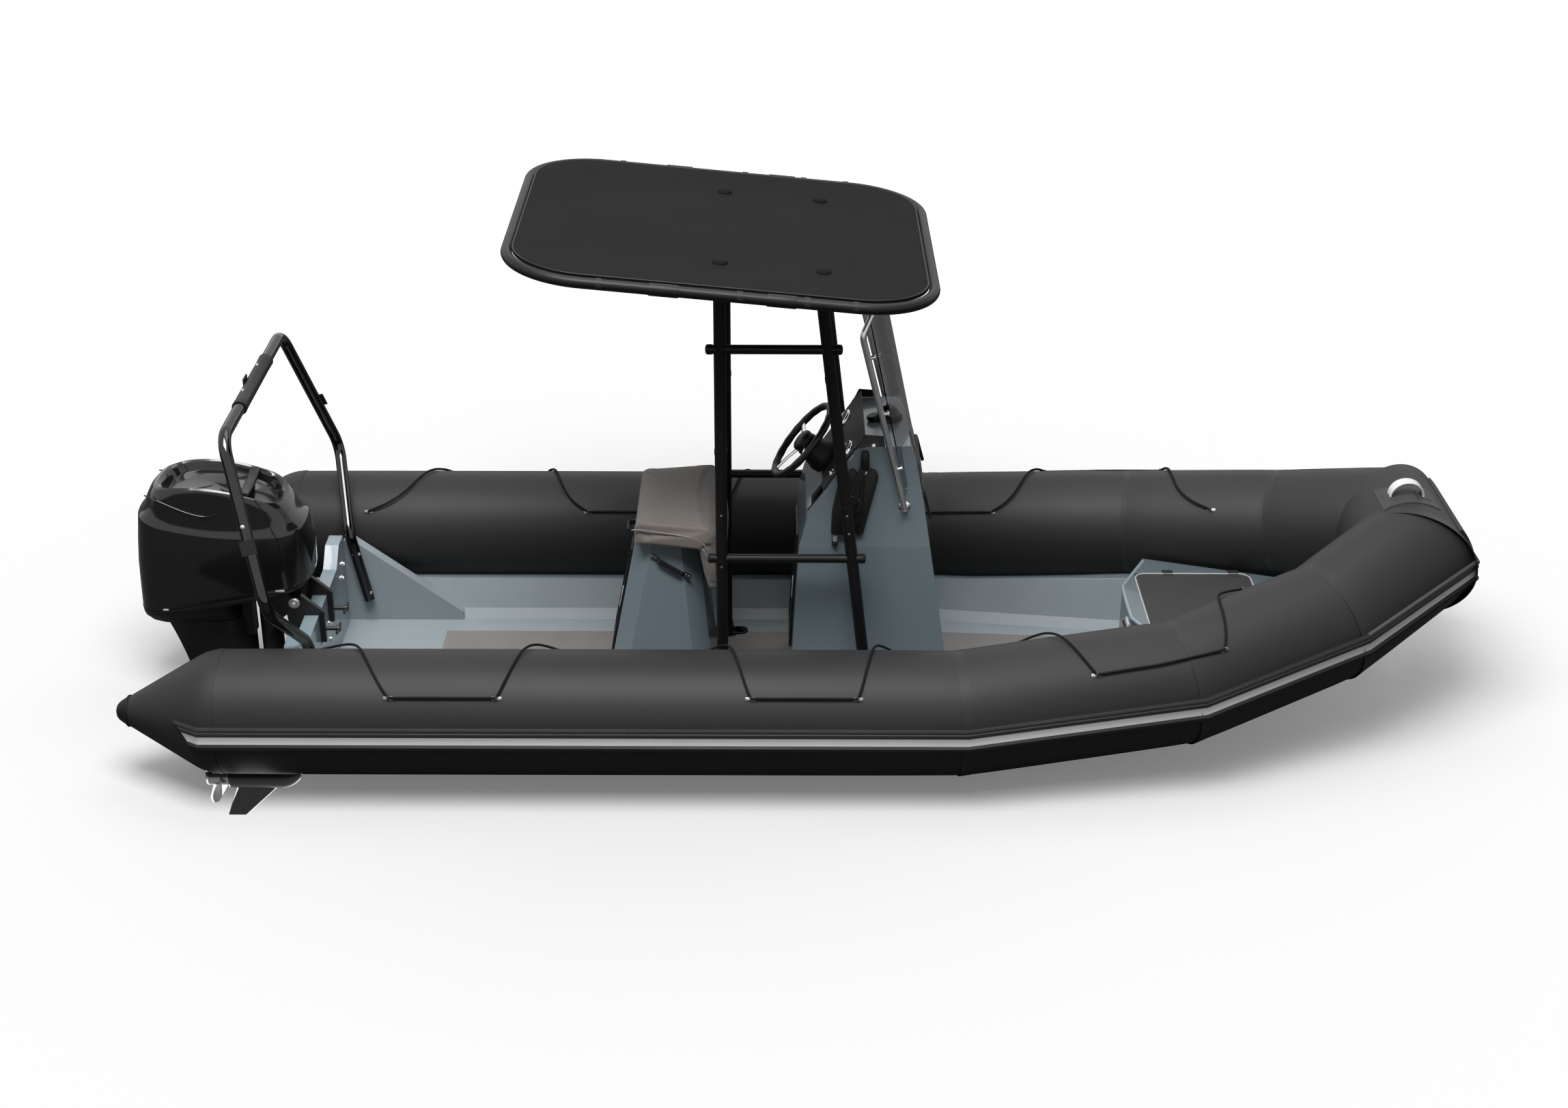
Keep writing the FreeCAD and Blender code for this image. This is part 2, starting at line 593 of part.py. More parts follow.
# Hull: vee sections lofted from the transom to the stem. Each row gives, in tube radii inward of and below the
# tube's centreline, the keel's depth and then the chine, side, bilge and gunwale.
STRAIGHT_SHARES = (2.62, [(0.40, 1.36), (0.38, 1.12), (0.64, 0.85), (0.84, 0.65)])
FORE_SHARES = [
    (0.10, 2.65, [(0.34, 1.36), (0.31, 1.14), (0.59, 0.86), (0.80, 0.67)]),
    (0.22, 2.57, [(0.31, 1.36), (0.28, 1.14), (0.56, 0.86), (0.79, 0.66)]),
    (0.35, 2.43, [(0.37, 1.31), (0.33, 1.09), (0.59, 0.85), (0.82, 0.64)]),
    (0.50, 2.15, [(0.50, 1.21), (0.47, 1.01), (0.72, 0.79), (0.91, 0.60)]),
    (0.62, 1.92, [(0.51, 1.17), (0.48, 1.01), (0.72, 0.82), (0.93, 0.63)]),
    (0.74, 1.68, [(0.57, 1.13), (0.54, 1.01), (0.78, 0.82), (0.97, 0.65)]),
    (0.86, 1.42, [(0.67, 1.06), (0.65, 0.98), (0.86, 0.82), (1.05, 0.68)]),
    (0.94, 1.29, [(0.67, 1.04), (0.65, 0.98), (0.84, 0.87), (0.97, 0.75)]),
    (1.00, 1.13, [(0.73, 0.99), (0.71, 0.95), (0.80, 0.89), (0.89, 0.83)]),
]
stem_x = bend_d_x - n.stem_back


def fore_x(share):
    return n.bend_a_x + (stem_x - n.bend_a_x) * share


def beside_tube(x, inward, below):
    """Half beam and height of a point given in tube radii from the centreline."""
    at = line_at(x)
    return at.y - inward * n.tube_radius, at.z - below * n.tube_radius


def section(x, keel, row):
    """Closed hull section; its upper two corners stand proud, to be cut by the tube."""
    half = [(0, line_at(x).z - keel * n.tube_radius)] + [beside_tube(x, *pair) for pair in row]
    half = half[:3] + [(y + n.tube_bite, z) for y, z in half[3:]]
    ring = [Vec(x, y, z) for y, z in half] + [Vec(x, -y, z) for y, z in reversed(half[1:])]
    return Part.makePolygon(ring + [ring[0]])


STATIONS = [section(x, *STRAIGHT_SHARES) for x in (n.transom_x, n.bend_a_x * 0.6)]
STATIONS += [section(fore_x(share), keel, row) for share, keel, row in FORE_SHARES]
hull_full = Part.makeLoft(STATIONS, True, True)
if hull_full.Volume < 0:
    hull_full.reverse()

chine, side, bilge, gunwale = [beside_tube(n.transom_x, *pair) for pair in STRAIGHT_SHARES[1]]
keel_z = n.tube_z - STRAIGHT_SHARES[0] * n.tube_radius
rim_y = gunwale[0] - n.rim_step
ledge_y = rim_y - n.ledge_step
floor_y = ledge_y - n.floor_step
FRONT_RIM_SHARES = (0.874, 0.676)
front_rim = beside_tube(n.liner_front_x, *FRONT_RIM_SHARES)
front_ledge_y = front_rim[0] - n.front_ledge_step
front_floor_y = front_ledge_y - n.floor_step


def tray(x, floor, ledge, rim, top_extra):
    half = [(0, floor[1]), floor, ledge, rim, (rim[0] + top_extra[0], rim[1] + top_extra[1])]
    ring = [Vec(x, y, z) for y, z in half] + [Vec(x, -y, z) for y, z in reversed(half[1:])]
    return Part.makePolygon(ring + [ring[0]])


# moulded liner: an open tray with a low ledge along each side
wall, deep = n.liner_wall, n.liner_floor
up = (n.rim_lean * 2, n.overrun * 2)
mid = [(floor_y, n.floor_z), (ledge_y, n.ledge_z), (rim_y, gunwale[1])]
front = [(front_floor_y, n.floor_z), (front_ledge_y, n.ledge_z), front_rim]
outer_mid = [(floor_y + wall, n.floor_z - deep), (ledge_y + wall, n.ledge_z - wall / 2), (rim_y + wall, gunwale[1])]
outer_front = [(front_floor_y + wall, n.floor_z - deep), (front_ledge_y + wall, n.ledge_z - wall / 2),
               (front_rim[0] + wall / 2, front_rim[1])]
span = [(n.transom_x, mid, outer_mid), (n.bend_a_x, mid, outer_mid), (n.liner_front_x, front, outer_front)]
liner_inner = Part.makeLoft([tray(x, *inner, up) for x, inner, outer in span], True, True)
liner_outer = Part.makeLoft([tray(x, *outer, (0, 0)) for x, inner, outer in span], True, True)
liner_void = Part.makeLoft([tray(x, *outer, up) for x, inner, outer in span], True, True)

# raised bow deck, its edges kept beside the narrowing tubes, with a locker let into it
lid_front_x = n.lid_aft_x + n.lid_len
lid_half = line_at(lid_front_x).y - n.tube_radius - n.lid_side_gap
locker = block(n.lid_aft_x + n.lid_land, lid_front_x - n.lid_land, n.lid_land - lid_half, lid_half - n.lid_land,
               n.locker_floor_z, n.deck_z + n.overrun)
recess = block(n.lid_aft_x, lid_front_x, -lid_half, lid_half, n.deck_z - n.lid_thick, n.deck_z + n.overrun)


def along_table(table, x):
    """Value at x on a table of rising (x, value) rows."""
    for (x0, v0), (x1, v1) in zip(table, table[1:]):
        if x <= x1 or (x1, v1) == table[-1]:
            return v0 + (v1 - v0) * (x - x0) / (x1 - x0)


# the deck's side, in tube radii inward of the centreline, at shares of the way to the stem
DECK_SHARES = [(0.523, 1.222), (0.695, 1.089), (0.8736, 0.954), (0.977, 0.770)]
DECK_END_SHARE = 0.9138
stations = [fore_x(share) for share, keel, row in FORE_SHARES]
sheer = [(x, beside_tube(x, *row[3])[1]) for x, (share, keel, row) in zip(stations, FORE_SHARES)]
deck_side = [(fore_x(share), beside_tube(fore_x(share), inward, 0)[0]) for share, inward in DECK_SHARES]
deck_aft_x, deck_side_y = n.liner_front_x, along_table(deck_side, n.liner_front_x)
deck_x = [deck_aft_x] + [x for x in stations if deck_aft_x < x < deck_side[2][0]] + [fore_x(DECK_END_SHARE)]
rings = []
for x in deck_x:
    wide, base = along_table(deck_side, x), along_table(sheer, x) + n.deck_gap
    ring = [Vec(x, -wide, base), Vec(x, wide, base), Vec(x, wide, n.deck_z), Vec(x, -wide, n.deck_z)]
    rings.append(Part.makePolygon(ring + [ring[0]]))
deck_high = Part.makeLoft(rings, True, True)
riser_plan = [(n.deck_mid_x, -n.deck_mid_y), (n.deck_mid_x, n.deck_mid_y), (deck_aft_x, deck_side_y),
              (deck_aft_x, -deck_side_y)]
riser = prism_z(riser_plan, n.floor_z, n.deck_z).common(liner_inner.fuse(
    block(n.deck_mid_x, n.liner_front_x, -rim_y, rim_y, front_rim[1] + n.deck_gap, n.deck_z)))
deck = deck_high.fuse(riser).cut(locker).cut(recess).removeSplitter()
feature("bow_deck", main_solid(deck))

hull = hull_full.cut(liner_void).cut(locker)
bed = n.tube_radius + n.seat_gap
shelf = [tube_run(k, bed) for k in range(4)]
hull = hull.cut(shelf + [mirror(run) for run in shelf])
feature("hull", main_solid(hull))

# knees that brace the transom on both sides of the cockpit
knee_in_y, knee_out_y = floor_y - n.knee_proud, ledge_y + n.overrun
knee_end_x = n.transom_x + n.knee_len
knee = prism_y([(n.transom_x, gunwale[1]), (n.transom_x, n.knee_top), (n.transom_x + n.knee_toe, n.knee_top),
                (knee_end_x, n.floor_z + n.knee_toe), (knee_end_x, n.floor_z), (n.transom_x, n.floor_z)],
               knee_in_y, knee_out_y)
knee = knee.common(liner_inner.fuse(block(n.transom_x, knee_end_x, 0, knee_out_y, gunwale[1], n.knee_top)))
liner = liner_outer.cut(liner_inner).fuse([knee, mirror(knee)]).removeSplitter()
feature("deck_liner", main_solid(liner))

ear_foot_y = n.tube_y - n.tube_radius - n.ear_clear
ear_outer_y = ear_foot_y - n.ear_slope
ear_inner_y = ear_outer_y - n.ear_width
straight = [(n.tube_y - i * n.tube_radius, n.tube_z - b * n.tube_radius) for i, b in STRAIGHT_SHARES[1]]
half = [(0, keel_z)] + straight + [(ear_foot_y, n.ear_foot_z), (ear_outer_y, n.transom_ear),
                                   (ear_inner_y, n.transom_ear), (ear_inner_y - n.well_slope, n.transom_top)]
full = half + [(-y, z) for y, z in reversed(half[1:])]
Drawn("transom").pad("YZ", n.transom_x - n.transom_thick, n.transom_x, full).done()

# floor mat, cut round the feet of the four legs
mat_top = n.floor_z + n.mat_thick
mat = Drawn("floor_mat")
mat.pad("XY", n.floor_z, mat_top, [
    (n.mat_aft_x, -n.mat_y), (n.mat_aft_x, n.mat_y), (n.bend_a_x, n.mat_y), (n.mat_front_x, n.mat_front_y),
    (n.mat_front_x, -n.mat_front_y), (n.bend_a_x, -n.mat_y)])
foot_hole = n.foot_radius + n.mat_clear
mat.pocket("XY", n.floor_z - n.overrun, mat_top, *[
    ("circle", x, y, foot_hole) for x in (n.rear_leg_x, n.front_leg_foot_x) for y in (n.leg_y, -n.leg_y)])
mat.done()

# bow locker lid with two strap hinges on its port edge
lid_size = n.tube_radius + n.lid_side_gap
lid_share = (lid_front_x - bend_b_x) / n.leg_c_len
lid_edge = n.bend_b_y + (n.bend_c_y - n.bend_b_y) * lid_share - lid_size - n.lid_gap
lid_low, lid_top = n.deck_z - n.lid_thick + n.seat_gap, n.deck_z + n.seat_gap
lid = Drawn("bow_locker_lid")
lid.pad("XY", lid_low, lid_top, [(x, y) for x, y in (
    (n.lid_aft_x + n.lid_gap, -lid_edge), (lid_front_x - n.lid_gap, -lid_edge),
    (lid_front_x - n.lid_gap, lid_edge), (n.lid_aft_x + n.lid_gap, lid_edge))])
lid.fillet_upright(n.lid_corner)
leaf_low = lid_edge + n.lid_gap - n.leaf_width
barrels = []
hinge_y, hinge_z = lid_half + n.hinge_radius, n.deck_z + n.hinge_lift
for x in (n.hinge_a_x, n.hinge_b_x):
    a, b = x - n.hinge_len / 2, x + n.hinge_len / 2
    lid.pad("XY", lid_top, lid_top + n.leaf_thick, [(a, leaf_low), (b, leaf_low), (b, lid_edge), (a, lid_edge)])
    barrel = rod(Vec(a, hinge_y, hinge_z), Vec(b, hinge_y, hinge_z), n.hinge_radius)
    leaf = block(a, b, hinge_y, hinge_y + n.leaf_width, n.deck_z, n.deck_z + n.leaf_thick)
    barrels.append(barrel.fuse(leaf))
lid.done()


# Console: a moulded shell, narrower at the top, open behind the hatch.
def con_outline(inset):
    w = inset
    return [(n.con_foot_aft + w, mat_top), (n.con_knee_x + w, n.con_knee_z), (n.dash_low_x + w, n.dash_low_z - w / 2),
            (n.dash_top_x + w / 2, n.dash_top_z - w), (n.con_top_front_x - w / 2, n.con_top_front_z - w),
            (n.con_nose_x - w, n.con_nose_z), (n.con_front_x - w, n.con_front_z), (n.con_foot_front - w, mat_top)]


def con_solid(inset):
    body = prism_y(con_outline(inset), -n.con_half + inset, n.con_half - inset)
    half, narrow = n.con_half - inset, n.con_top_half - inset
    side = prism_x([(half, mat_top - n.overrun), (half, n.con_knee_z), (narrow, n.con_top_front_z + n.overrun),
                    (-narrow, n.con_top_front_z + n.overrun), (-half, n.con_knee_z), (-half, mat_top - n.overrun)],
                   n.con_foot_aft - n.overrun, n.con_foot_front + n.overrun)
    return body.common(side)


def con_aft_x(z):
    share = (z - mat_top) / (n.con_knee_z - mat_top)
    return n.con_foot_aft + (n.con_knee_x - n.con_foot_aft) * share


def leaning(low, high, place):
    """Direction up a leaning aft face, and its outward normal."""
    lean = Vec(place(high) - place(low), 0, high - low).normalize()
    return lean, Vec(-lean.z, 0, lean.x)


def slanted_door(low, high, half, start, end, place):
    """A flat door of one thickness set into the leaning aft face."""
    lean, out = leaning(low, high, place)
    foot = Vec(place(low), 0, low) + out * start
    head = foot + lean * ((high - low) / lean.z)
    across = Vec(0, half, 0)
    return face_of([foot - across, foot + across, head + across, head - across]).extrude(out * (end - start))


HINGE_SHARES = (0.2, 0.8)


def door_hinge(low, high, half, place, proud):
    """Two knuckled hinges on a door's port edge: the moving leaves and latch knob, the fixed halves, the bores."""
    lean, out = leaning(low, high, place)
    r, half_len = n.knuckle_radius, n.knuckle_len / 2
    leaves, fixed, bores = [], [], []

    def leaf(spot, start, end, y0, y1, lift):
        ring = [spot + lean * a + Vec(0, y, 0) + out * lift for a, y in ((start, y0), (end, y0), (end, y1), (start, y1))]
        return face_of(ring).extrude(out * n.leaf_thick)

    for share in HINGE_SHARES:
        z = low + (high - low) * share
        spot = Vec(place(z), half + n.knuckle_off, z) + out * (r + n.seat_gap)
        knuckle = rod(spot - lean * half_len, spot + lean * half_len, r)
        leaves.append(knuckle.fuse(leaf(spot, -half_len, half_len, -n.leaf_width, 0, proud - r - n.seat_gap)))
        long_a, long_b = spot - lean * n.knuckle_len, spot + lean * n.knuckle_len
        bores.append(rod(long_a, long_b, n.hinge_pin + n.running_fit))
        pieces = [rod(long_a, long_b, n.hinge_pin)]
        for start, end in ((-n.knuckle_len, -half_len - n.seat_gap), (half_len + n.seat_gap, n.knuckle_len)):
            pieces.append(rod(spot + lean * start, spot + lean * end, r))
            pieces.append(leaf(spot, start, end, 0, n.leaf_width, -r))
        fixed.append(pieces[0].fuse(pieces[1:]))
    mid_z = (low + high) / 2
    knob_at = Vec(place(mid_z), n.knob_radius * 2 - half, mid_z) + out * (proud - n.leaf_thick)
    knob = Part.makeCylinder(n.knob_radius, n.knob_proud, knob_at, out)
    return leaves + [knob], fixed, bores


shell = con_solid(0).cut(con_solid(n.con_wall))
foot_rim = prism_z([(n.con_foot_aft, -n.con_half), (n.con_foot_aft, n.con_half), (n.con_foot_front, n.con_half),
                    (n.con_foot_front, -n.con_half)], mat_top, mat_top + n.con_wall).common(con_solid(0))
cut_deep = n.con_wall * 3
shell = shell.fuse(foot_rim)
shell = shell.cut(slanted_door(n.hatch_low, n.hatch_high, n.hatch_half, -cut_deep, cut_deep, con_aft_x))
feature("console_shell", shell.removeSplitter())

# dash panel, a thin board on the leaning upper face that carries gauges and helm
dash_run_x, dash_run_z = n.dash_top_x - n.dash_low_x, n.dash_top_z - n.dash_low_z
dash_len = root(dash_run_x * dash_run_x + dash_run_z * dash_run_z)
lean_x, lean_z = dash_run_x / dash_len, dash_run_z / dash_len


def on_dash(along, lift):
    """X and Z of a point at a share of the way up the dash, lifted off its face."""
    return (n.dash_low_x + dash_run_x * along - lean_z * lift, n.dash_low_z + dash_run_z * along + lean_x * lift)


PANEL_SHARES = (0.34, 0.97)
board_top = n.seat_gap + n.dash_panel_thick
low_end, high_end = PANEL_SHARES
Drawn("dash_panel").pad("XZ", -n.dash_panel_half, n.dash_panel_half, [
    on_dash(low_end, n.seat_gap), on_dash(high_end, n.seat_gap), on_dash(high_end, board_top),
    on_dash(low_end, board_top)]).done()

# two round gauges: share up the dash, share of the panel's half width
GAUGE_SHARES = [(0.80, 0.70), (0.80, -0.70)]
dials = []
for k, (along, across) in enumerate(GAUGE_SHARES):
    x, z = on_dash(along, board_top + n.seat_gap)
    dial = primitive("Cylinder", "gauge_%d" % k, Radius=n.gauge_radius, Height=n.gauge_proud)
    dial.Placement = FreeCAD.Placement(Vec(x, across * n.dash_panel_half, z), FreeCAD.Rotation(
        Vec(0, 1, 0), -math.degrees(math.acos(lean_x))))
    bind(dial, Placement__Base__x=x, Placement__Base__y=n.dash_panel_half * across, Placement__Base__z=z)
    dials.append(dial)
gauges = doc.addObject("Part::Compound", "gauges")
gauges.Links = dials
keep(gauges, "gauges")

# helm: a round boss that carries the wheel's shaft
tilt = math.radians(n.wheel_tilt)
wheel_axis = Vec(-math.cos(tilt), 0, math.sin(tilt))
wheel_at = Vec(n.wheel_x, 0, n.wheel_z)
helm_top = wheel_at - wheel_axis * (n.hub_deep / 2 + n.helm_gap)
dash_out = Vec(-lean_z, 0, lean_x)
above_dash = half_space(Vec(n.dash_low_x, 0, n.dash_low_z) + dash_out * (board_top + n.seat_gap), dash_out,
                        n.helm_reach * 2)
helm = Part.makeCylinder(n.helm_radius, n.helm_reach, helm_top, -wheel_axis).common(above_dash)
bore = Part.makeCylinder(n.shaft_radius + n.shaft_fit, n.shaft_in + n.overrun, helm_top, -wheel_axis)
feature("helm", helm.cut(bore))

# steering wheel, drawn round its own axis and then set on the helm
wheel_rim = primitive("Torus", "wheel_rim", Radius1=n.wheel_radius - n.rim_radius, Radius2=n.rim_radius)
hub = primitive("Cylinder", "wheel_hub", Radius=n.hub_radius, Height=n.hub_deep, Placement__Base__z=-(n.hub_deep / 2))
reach = n.hub_deep / 2 + n.helm_gap + n.shaft_in
shaft = primitive("Cylinder", "wheel_shaft", Radius=n.shaft_radius, Height=reach, Placement__Base__z=-reach)
pieces = [wheel_rim, hub, shaft]
for turn in (0, 120, 240):
    spoke = primitive("Cylinder", "wheel_spoke_%d" % turn, Radius=n.spoke_radius, Height=n.wheel_radius - n.rim_radius)
    away = Vec(math.cos(math.radians(turn)), math.sin(math.radians(turn)), 0)
    spoke.Placement = FreeCAD.Placement(Vec(0, 0, 0), FreeCAD.Rotation(Vec(0, 0, 1), away))
    pieces.append(spoke)
wheel = doc.addObject("Part::MultiFuse", "steering_wheel")
wheel.Shapes = pieces
wheel.Placement = FreeCAD.Placement(wheel_at, FreeCAD.Rotation(Vec(0, 1, 0), n.wheel_tilt - 90))
bind(wheel, Placement__Base__x=n.wheel_x, Placement__Base__z=n.wheel_z)
keep(wheel, "steering_wheel")

door = slanted_door(n.hatch_low + n.hatch_gap, n.hatch_high - n.hatch_gap, n.hatch_half - n.hatch_gap,
                    -n.con_wall, n.hatch_thick - n.con_wall, con_aft_x)
moving, con_hinges, bores = door_hinge(n.hatch_low, n.hatch_high, n.hatch_half, con_aft_x, n.hatch_thick - n.con_wall)
feature("console_hatch", door.fuse(moving).cut(Part.makeCompound(bores)))

# windscreen: a bowed sheet raked aft, seated on the console's front shoulder
side_x = n.screen_foot_x - n.screen_bow
foot_arc = [Vec(side_x, -n.screen_half, n.screen_foot_z), Vec(n.screen_foot_x, 0, n.screen_foot_z),
            Vec(side_x, n.screen_half, n.screen_foot_z)]
inner_arc = [Vec(p.x - n.screen_thick, p.y, p.z) for p in foot_arc]
sheet_face = Part.Face(Part.Wire([
    Part.Arc(*foot_arc).toShape(), Part.LineSegment(foot_arc[2], inner_arc[2]).toShape(),
    Part.Arc(*reversed(inner_arc)).toShape(), Part.LineSegment(inner_arc[0], foot_arc[0]).toShape()]))
screen = sheet_face.extrude(Vec(n.screen_top_x - n.screen_foot_x, 0, n.screen_top_z - n.screen_foot_z))
feature("windscreen", main_solid(screen.cut(con_solid(-n.seat_gap * 3))))

rail_top_y = n.rail_y - n.rail_narrow
rail_points = [Vec(n.rail_foot_x, -n.rail_y, n.rail_foot_z), Vec(n.rail_bend_x, -n.rail_y, n.rail_bend_z),
               Vec(n.rail_top_x, -rail_top_y, n.rail_top_z), Vec(n.rail_top_x, rail_top_y, n.rail_top_z),
               Vec(n.rail_bend_x, n.rail_y, n.rail_bend_z), Vec(n.rail_foot_x, n.rail_y, n.rail_foot_z)]
feature("windscreen_rail", pipe(rail_points, [n.rail_bend] * 4, n.rail_radius))

# throttle on the starboard side of the console: a slanted box seated on the leaning side, and its lever
box_y, box_half = -n.con_half - n.seat_gap, n.lever_box / 2
lever_body = prism_y([(n.lever_low_x - box_half, n.lever_low_z), (n.lever_low_x + box_half, n.lever_low_z),
                      (n.lever_high_x + box_half, n.lever_high_z), (n.lever_high_x - box_half, n.lever_high_z)],
                     box_y - n.lever_deep, box_y + n.lever_deep)
lever_body = lever_body.cut(con_solid(-n.seat_gap))
lever_y = box_y - n.lever_deep / 2
lever = rod(Vec(n.lever_x, lever_y, n.lever_z), Vec(n.lever_x + n.lever_lean, lever_y, n.lever_z + n.lever_len),
            n.lever_radius)
feature("throttle_control", main_solid(lever_body.fuse(lever)))


# Helm seat: a tapered box with cut corners, a leaning cushion and a hatch behind.
def seat_ring(aft, front, half, z, inset):
    c = n.seat_chamfer
    pts = [(aft + c, half), (front - c, half), (front, half - c), (front, -half + c), (front - c, -half),
           (aft + c, -half), (aft, -half + c), (aft, half - c)]
    mid_x = (aft + front) / 2
    pts = [(mid_x + (x - mid_x) * (1 - inset / ((front - aft) / 2)), y * (1 - inset / half)) for x, y in pts]
    ring = [Vec(x, y, z) for x, y in pts]
    return Part.makePolygon(ring + [ring[0]])


def seat_solid(inset):
    return Part.makeLoft([seat_ring(n.seat_aft, n.seat_front, n.seat_half, mat_top + inset, inset),
                          seat_ring(n.seat_top_aft, n.seat_top_front, n.seat_top_half, n.seat_top_z - inset, inset)],
                         True, True)


def seat_aft_x(z):
    share = (z - mat_top) / (n.seat_top_z - mat_top)
    return n.seat_aft + (n.seat_top_aft - n.seat_aft) * share


seat = seat_solid(0).cut(seat_solid(n.seat_wall))
cut_deep = n.seat_wall * 4
seat = seat.cut(slanted_door(n.seat_hatch_low, n.seat_hatch_high, n.seat_hatch_half, -cut_deep, cut_deep, seat_aft_x))
feature("seat_base", seat)
door = slanted_door(n.seat_hatch_low + n.hatch_gap, n.seat_hatch_high - n.hatch_gap, n.seat_hatch_half - n.hatch_gap,
                    -n.seat_wall, n.hatch_thick - n.seat_wall, seat_aft_x)
moving, seat_hinges, bores = door_hinge(n.seat_hatch_low, n.seat_hatch_high, n.seat_hatch_half, seat_aft_x,
                                        n.hatch_thick - n.seat_wall)
feature("seat_hatch", door.fuse(moving).cut(Part.makeCompound(bores)))
feature("hinges", Part.makeCompound(barrels + con_hinges + seat_hinges))


# strap handles: a flat band between two pads, bowed away from the face that it is screwed to
def strap(middle, along, away, half, bow):
    """Band along one direction; its outline lies in the plane of along and away."""
    t, flat = n.strap_thick, half - n.strap_pad
    bend = flat - n.strap_pad / 2
    outline = [(-half, 0), (-flat, 0), (-bend, bow - t), (bend, bow - t), (flat, 0), (half, 0),
               (half, t), (flat, t), (bend, bow), (-bend, bow), (-flat, t), (-half, t)]
    across = along.cross(away).normalize() * n.strap_width
    ring = [middle + along * a + away * (b + n.seat_gap) - across * 0.5 for a, b in outline]
    return face_of(ring).extrude(across)


def seat_side_y(z):
    share = (z - mat_top) / (n.seat_top_z - mat_top)
    return n.seat_half + (n.seat_top_half - n.seat_half) * share


strap_a = Vec(n.strap_aft_x, seat_side_y(n.strap_aft_z), n.strap_aft_z)
strap_b = Vec(n.strap_front_x, seat_side_y(n.strap_front_z), n.strap_front_z)
strap_along = (strap_b - strap_a).normalize()
face_up = Vec(0, n.seat_top_half - n.seat_half, n.seat_top_z - mat_top).normalize()
side_out = face_up.cross(Vec(1, 0, 0)).normalize()
side_strap = strap((strap_a + strap_b) / 2, strap_along, side_out * (1 if side_out.y > 0 else -1),
                   (strap_b - strap_a).Length / 2, n.strap_out)
seat_out = leaning(mat_top, n.seat_top_z, seat_aft_x)[1]
rear_strap = strap(Vec(seat_aft_x(n.rear_strap_z), 0, n.rear_strap_z), Vec(0, 1, 0), seat_out, n.rear_strap_half,
                   n.rear_strap_out)
feature("seat_handles", Part.makeCompound([side_strap, mirror(side_strap), rear_strap]))

base_z = n.seat_top_z + n.seat_gap
apron_x = n.cushion_front + n.cushion_round
pad_side = [(n.cushion_aft, base_z), (n.cushion_aft, base_z + n.cushion_back_thick),
            (n.cushion_aft + n.cushion_round, n.cushion_top), (n.cushion_front - n.cushion_round, n.cushion_top),
            (n.cushion_front, n.cushion_top - n.cushion_round), (apron_x, n.apron_low),
            (apron_x - n.apron_thick, n.apron_low), (n.cushion_front - n.apron_thick, base_z)]
cushion = prism_y(pad_side, -n.cushion_front_half, n.cushion_front_half)
plan = prism_z([(n.cushion_aft, n.cushion_aft_half), (apron_x, n.cushion_front_half), (apron_x, -n.cushion_front_half),
                (n.cushion_aft, -n.cushion_aft_half)], n.apron_low - n.overrun, n.cushion_top + n.overrun)
feature("seat_cushion", main_solid(cushion.common(plan).cut(seat_solid(-n.seat_gap))))


# Cloth top: four legs, side rails and a rounded edge tube carrying the cloth.
def top_z(x):
    return n.top_level_z - x * TOP_SLOPE_SHARE


def front_leg_x(z):
    share = (z - n.floor_z) / (top_z(n.front_leg_top_x) - n.floor_z)
    return n.front_leg_foot_x + (n.front_leg_top_x - n.front_leg_foot_x) * share


frame = []
for x0, x1 in ((n.rear_leg_x, n.rear_leg_x), (n.front_leg_foot_x, n.front_leg_top_x)):
    head = Vec(x1, n.leg_y, top_z(x1))
    saddle = rod(Vec(x1, 0, head.z), Vec(x1, n.top_half, head.z), n.cross_radius + n.seat_gap)
    frame.append(rod(Vec(x0, n.leg_y, n.floor_z), head, n.leg_radius).cut(saddle))
    frame.append(Part.makeCylinder(n.foot_radius, n.foot_thick, Vec(x0, n.leg_y, n.floor_z)))
for z in (n.low_rail_z, n.high_rail_z):
    frame.append(rod(Vec(n.rear_leg_x - n.rail_stub, n.leg_y, z), Vec(front_leg_x(z) + n.rail_stub, n.leg_y, z),
                     n.cross_radius))
floor_cut = block(n.top_aft_x, n.top_front_x, -n.top_half, n.top_half, n.floor_z - 2 * n.leg_radius, n.floor_z)
side_frame = main_solid(frame[0].fuse(frame[1:]).cut(floor_cut).removeSplitter())
feature("top_legs_port", side_frame)
feature("top_legs_starboard", mirror(side_frame))


def top_plan(inset, lift):
    """The top's rounded plan on its slope, drawn in from the edge tube's centre."""
    corners = [(n.top_aft_x + inset, -n.top_half + inset), (n.top_front_x - inset, -n.top_half + inset),
               (n.top_front_x - inset, n.top_half - inset), (n.top_aft_x + inset, n.top_half - inset)]
    return rounded([Vec(x, y, top_z(x) + lift) for x, y in corners], [n.top_corner - inset] * 4)


edge = top_plan(0, 0)
start = edge.Edges[1].Vertexes[0].Point
heading = edge.Edges[1].Vertexes[1].Point - start
loop = Part.Wire(edge.Edges[1:] + edge.Edges[:1])
ring = Part.Wire(Part.makeCircle(n.top_tube_radius, start, heading))
cross = [rod(Vec(x, -n.top_half, top_z(x)), Vec(x, n.top_half, top_z(x)), n.cross_radius)
         for x in (n.rear_leg_x, n.front_leg_top_x)]
feature("top_frame", loop.makePipeShell([ring], True, False).fuse(cross))
cloth = top_plan(n.top_tube_radius + n.seat_gap, n.cross_radius + n.seat_gap * 2)
feature("top_cloth", Part.Face(cloth).extrude(Vec(0, 0, n.cloth_thick)))


# Bow: reinforcing patch and handle on the crown of the front tube
def on_bow(degrees, y, lift):
    turn = math.radians(degrees)
    away = n.tube_radius + lift
    return Vec(bend_d_x + math.cos(turn) * away, y, n.bend_d_z + math.sin(turn) * away)


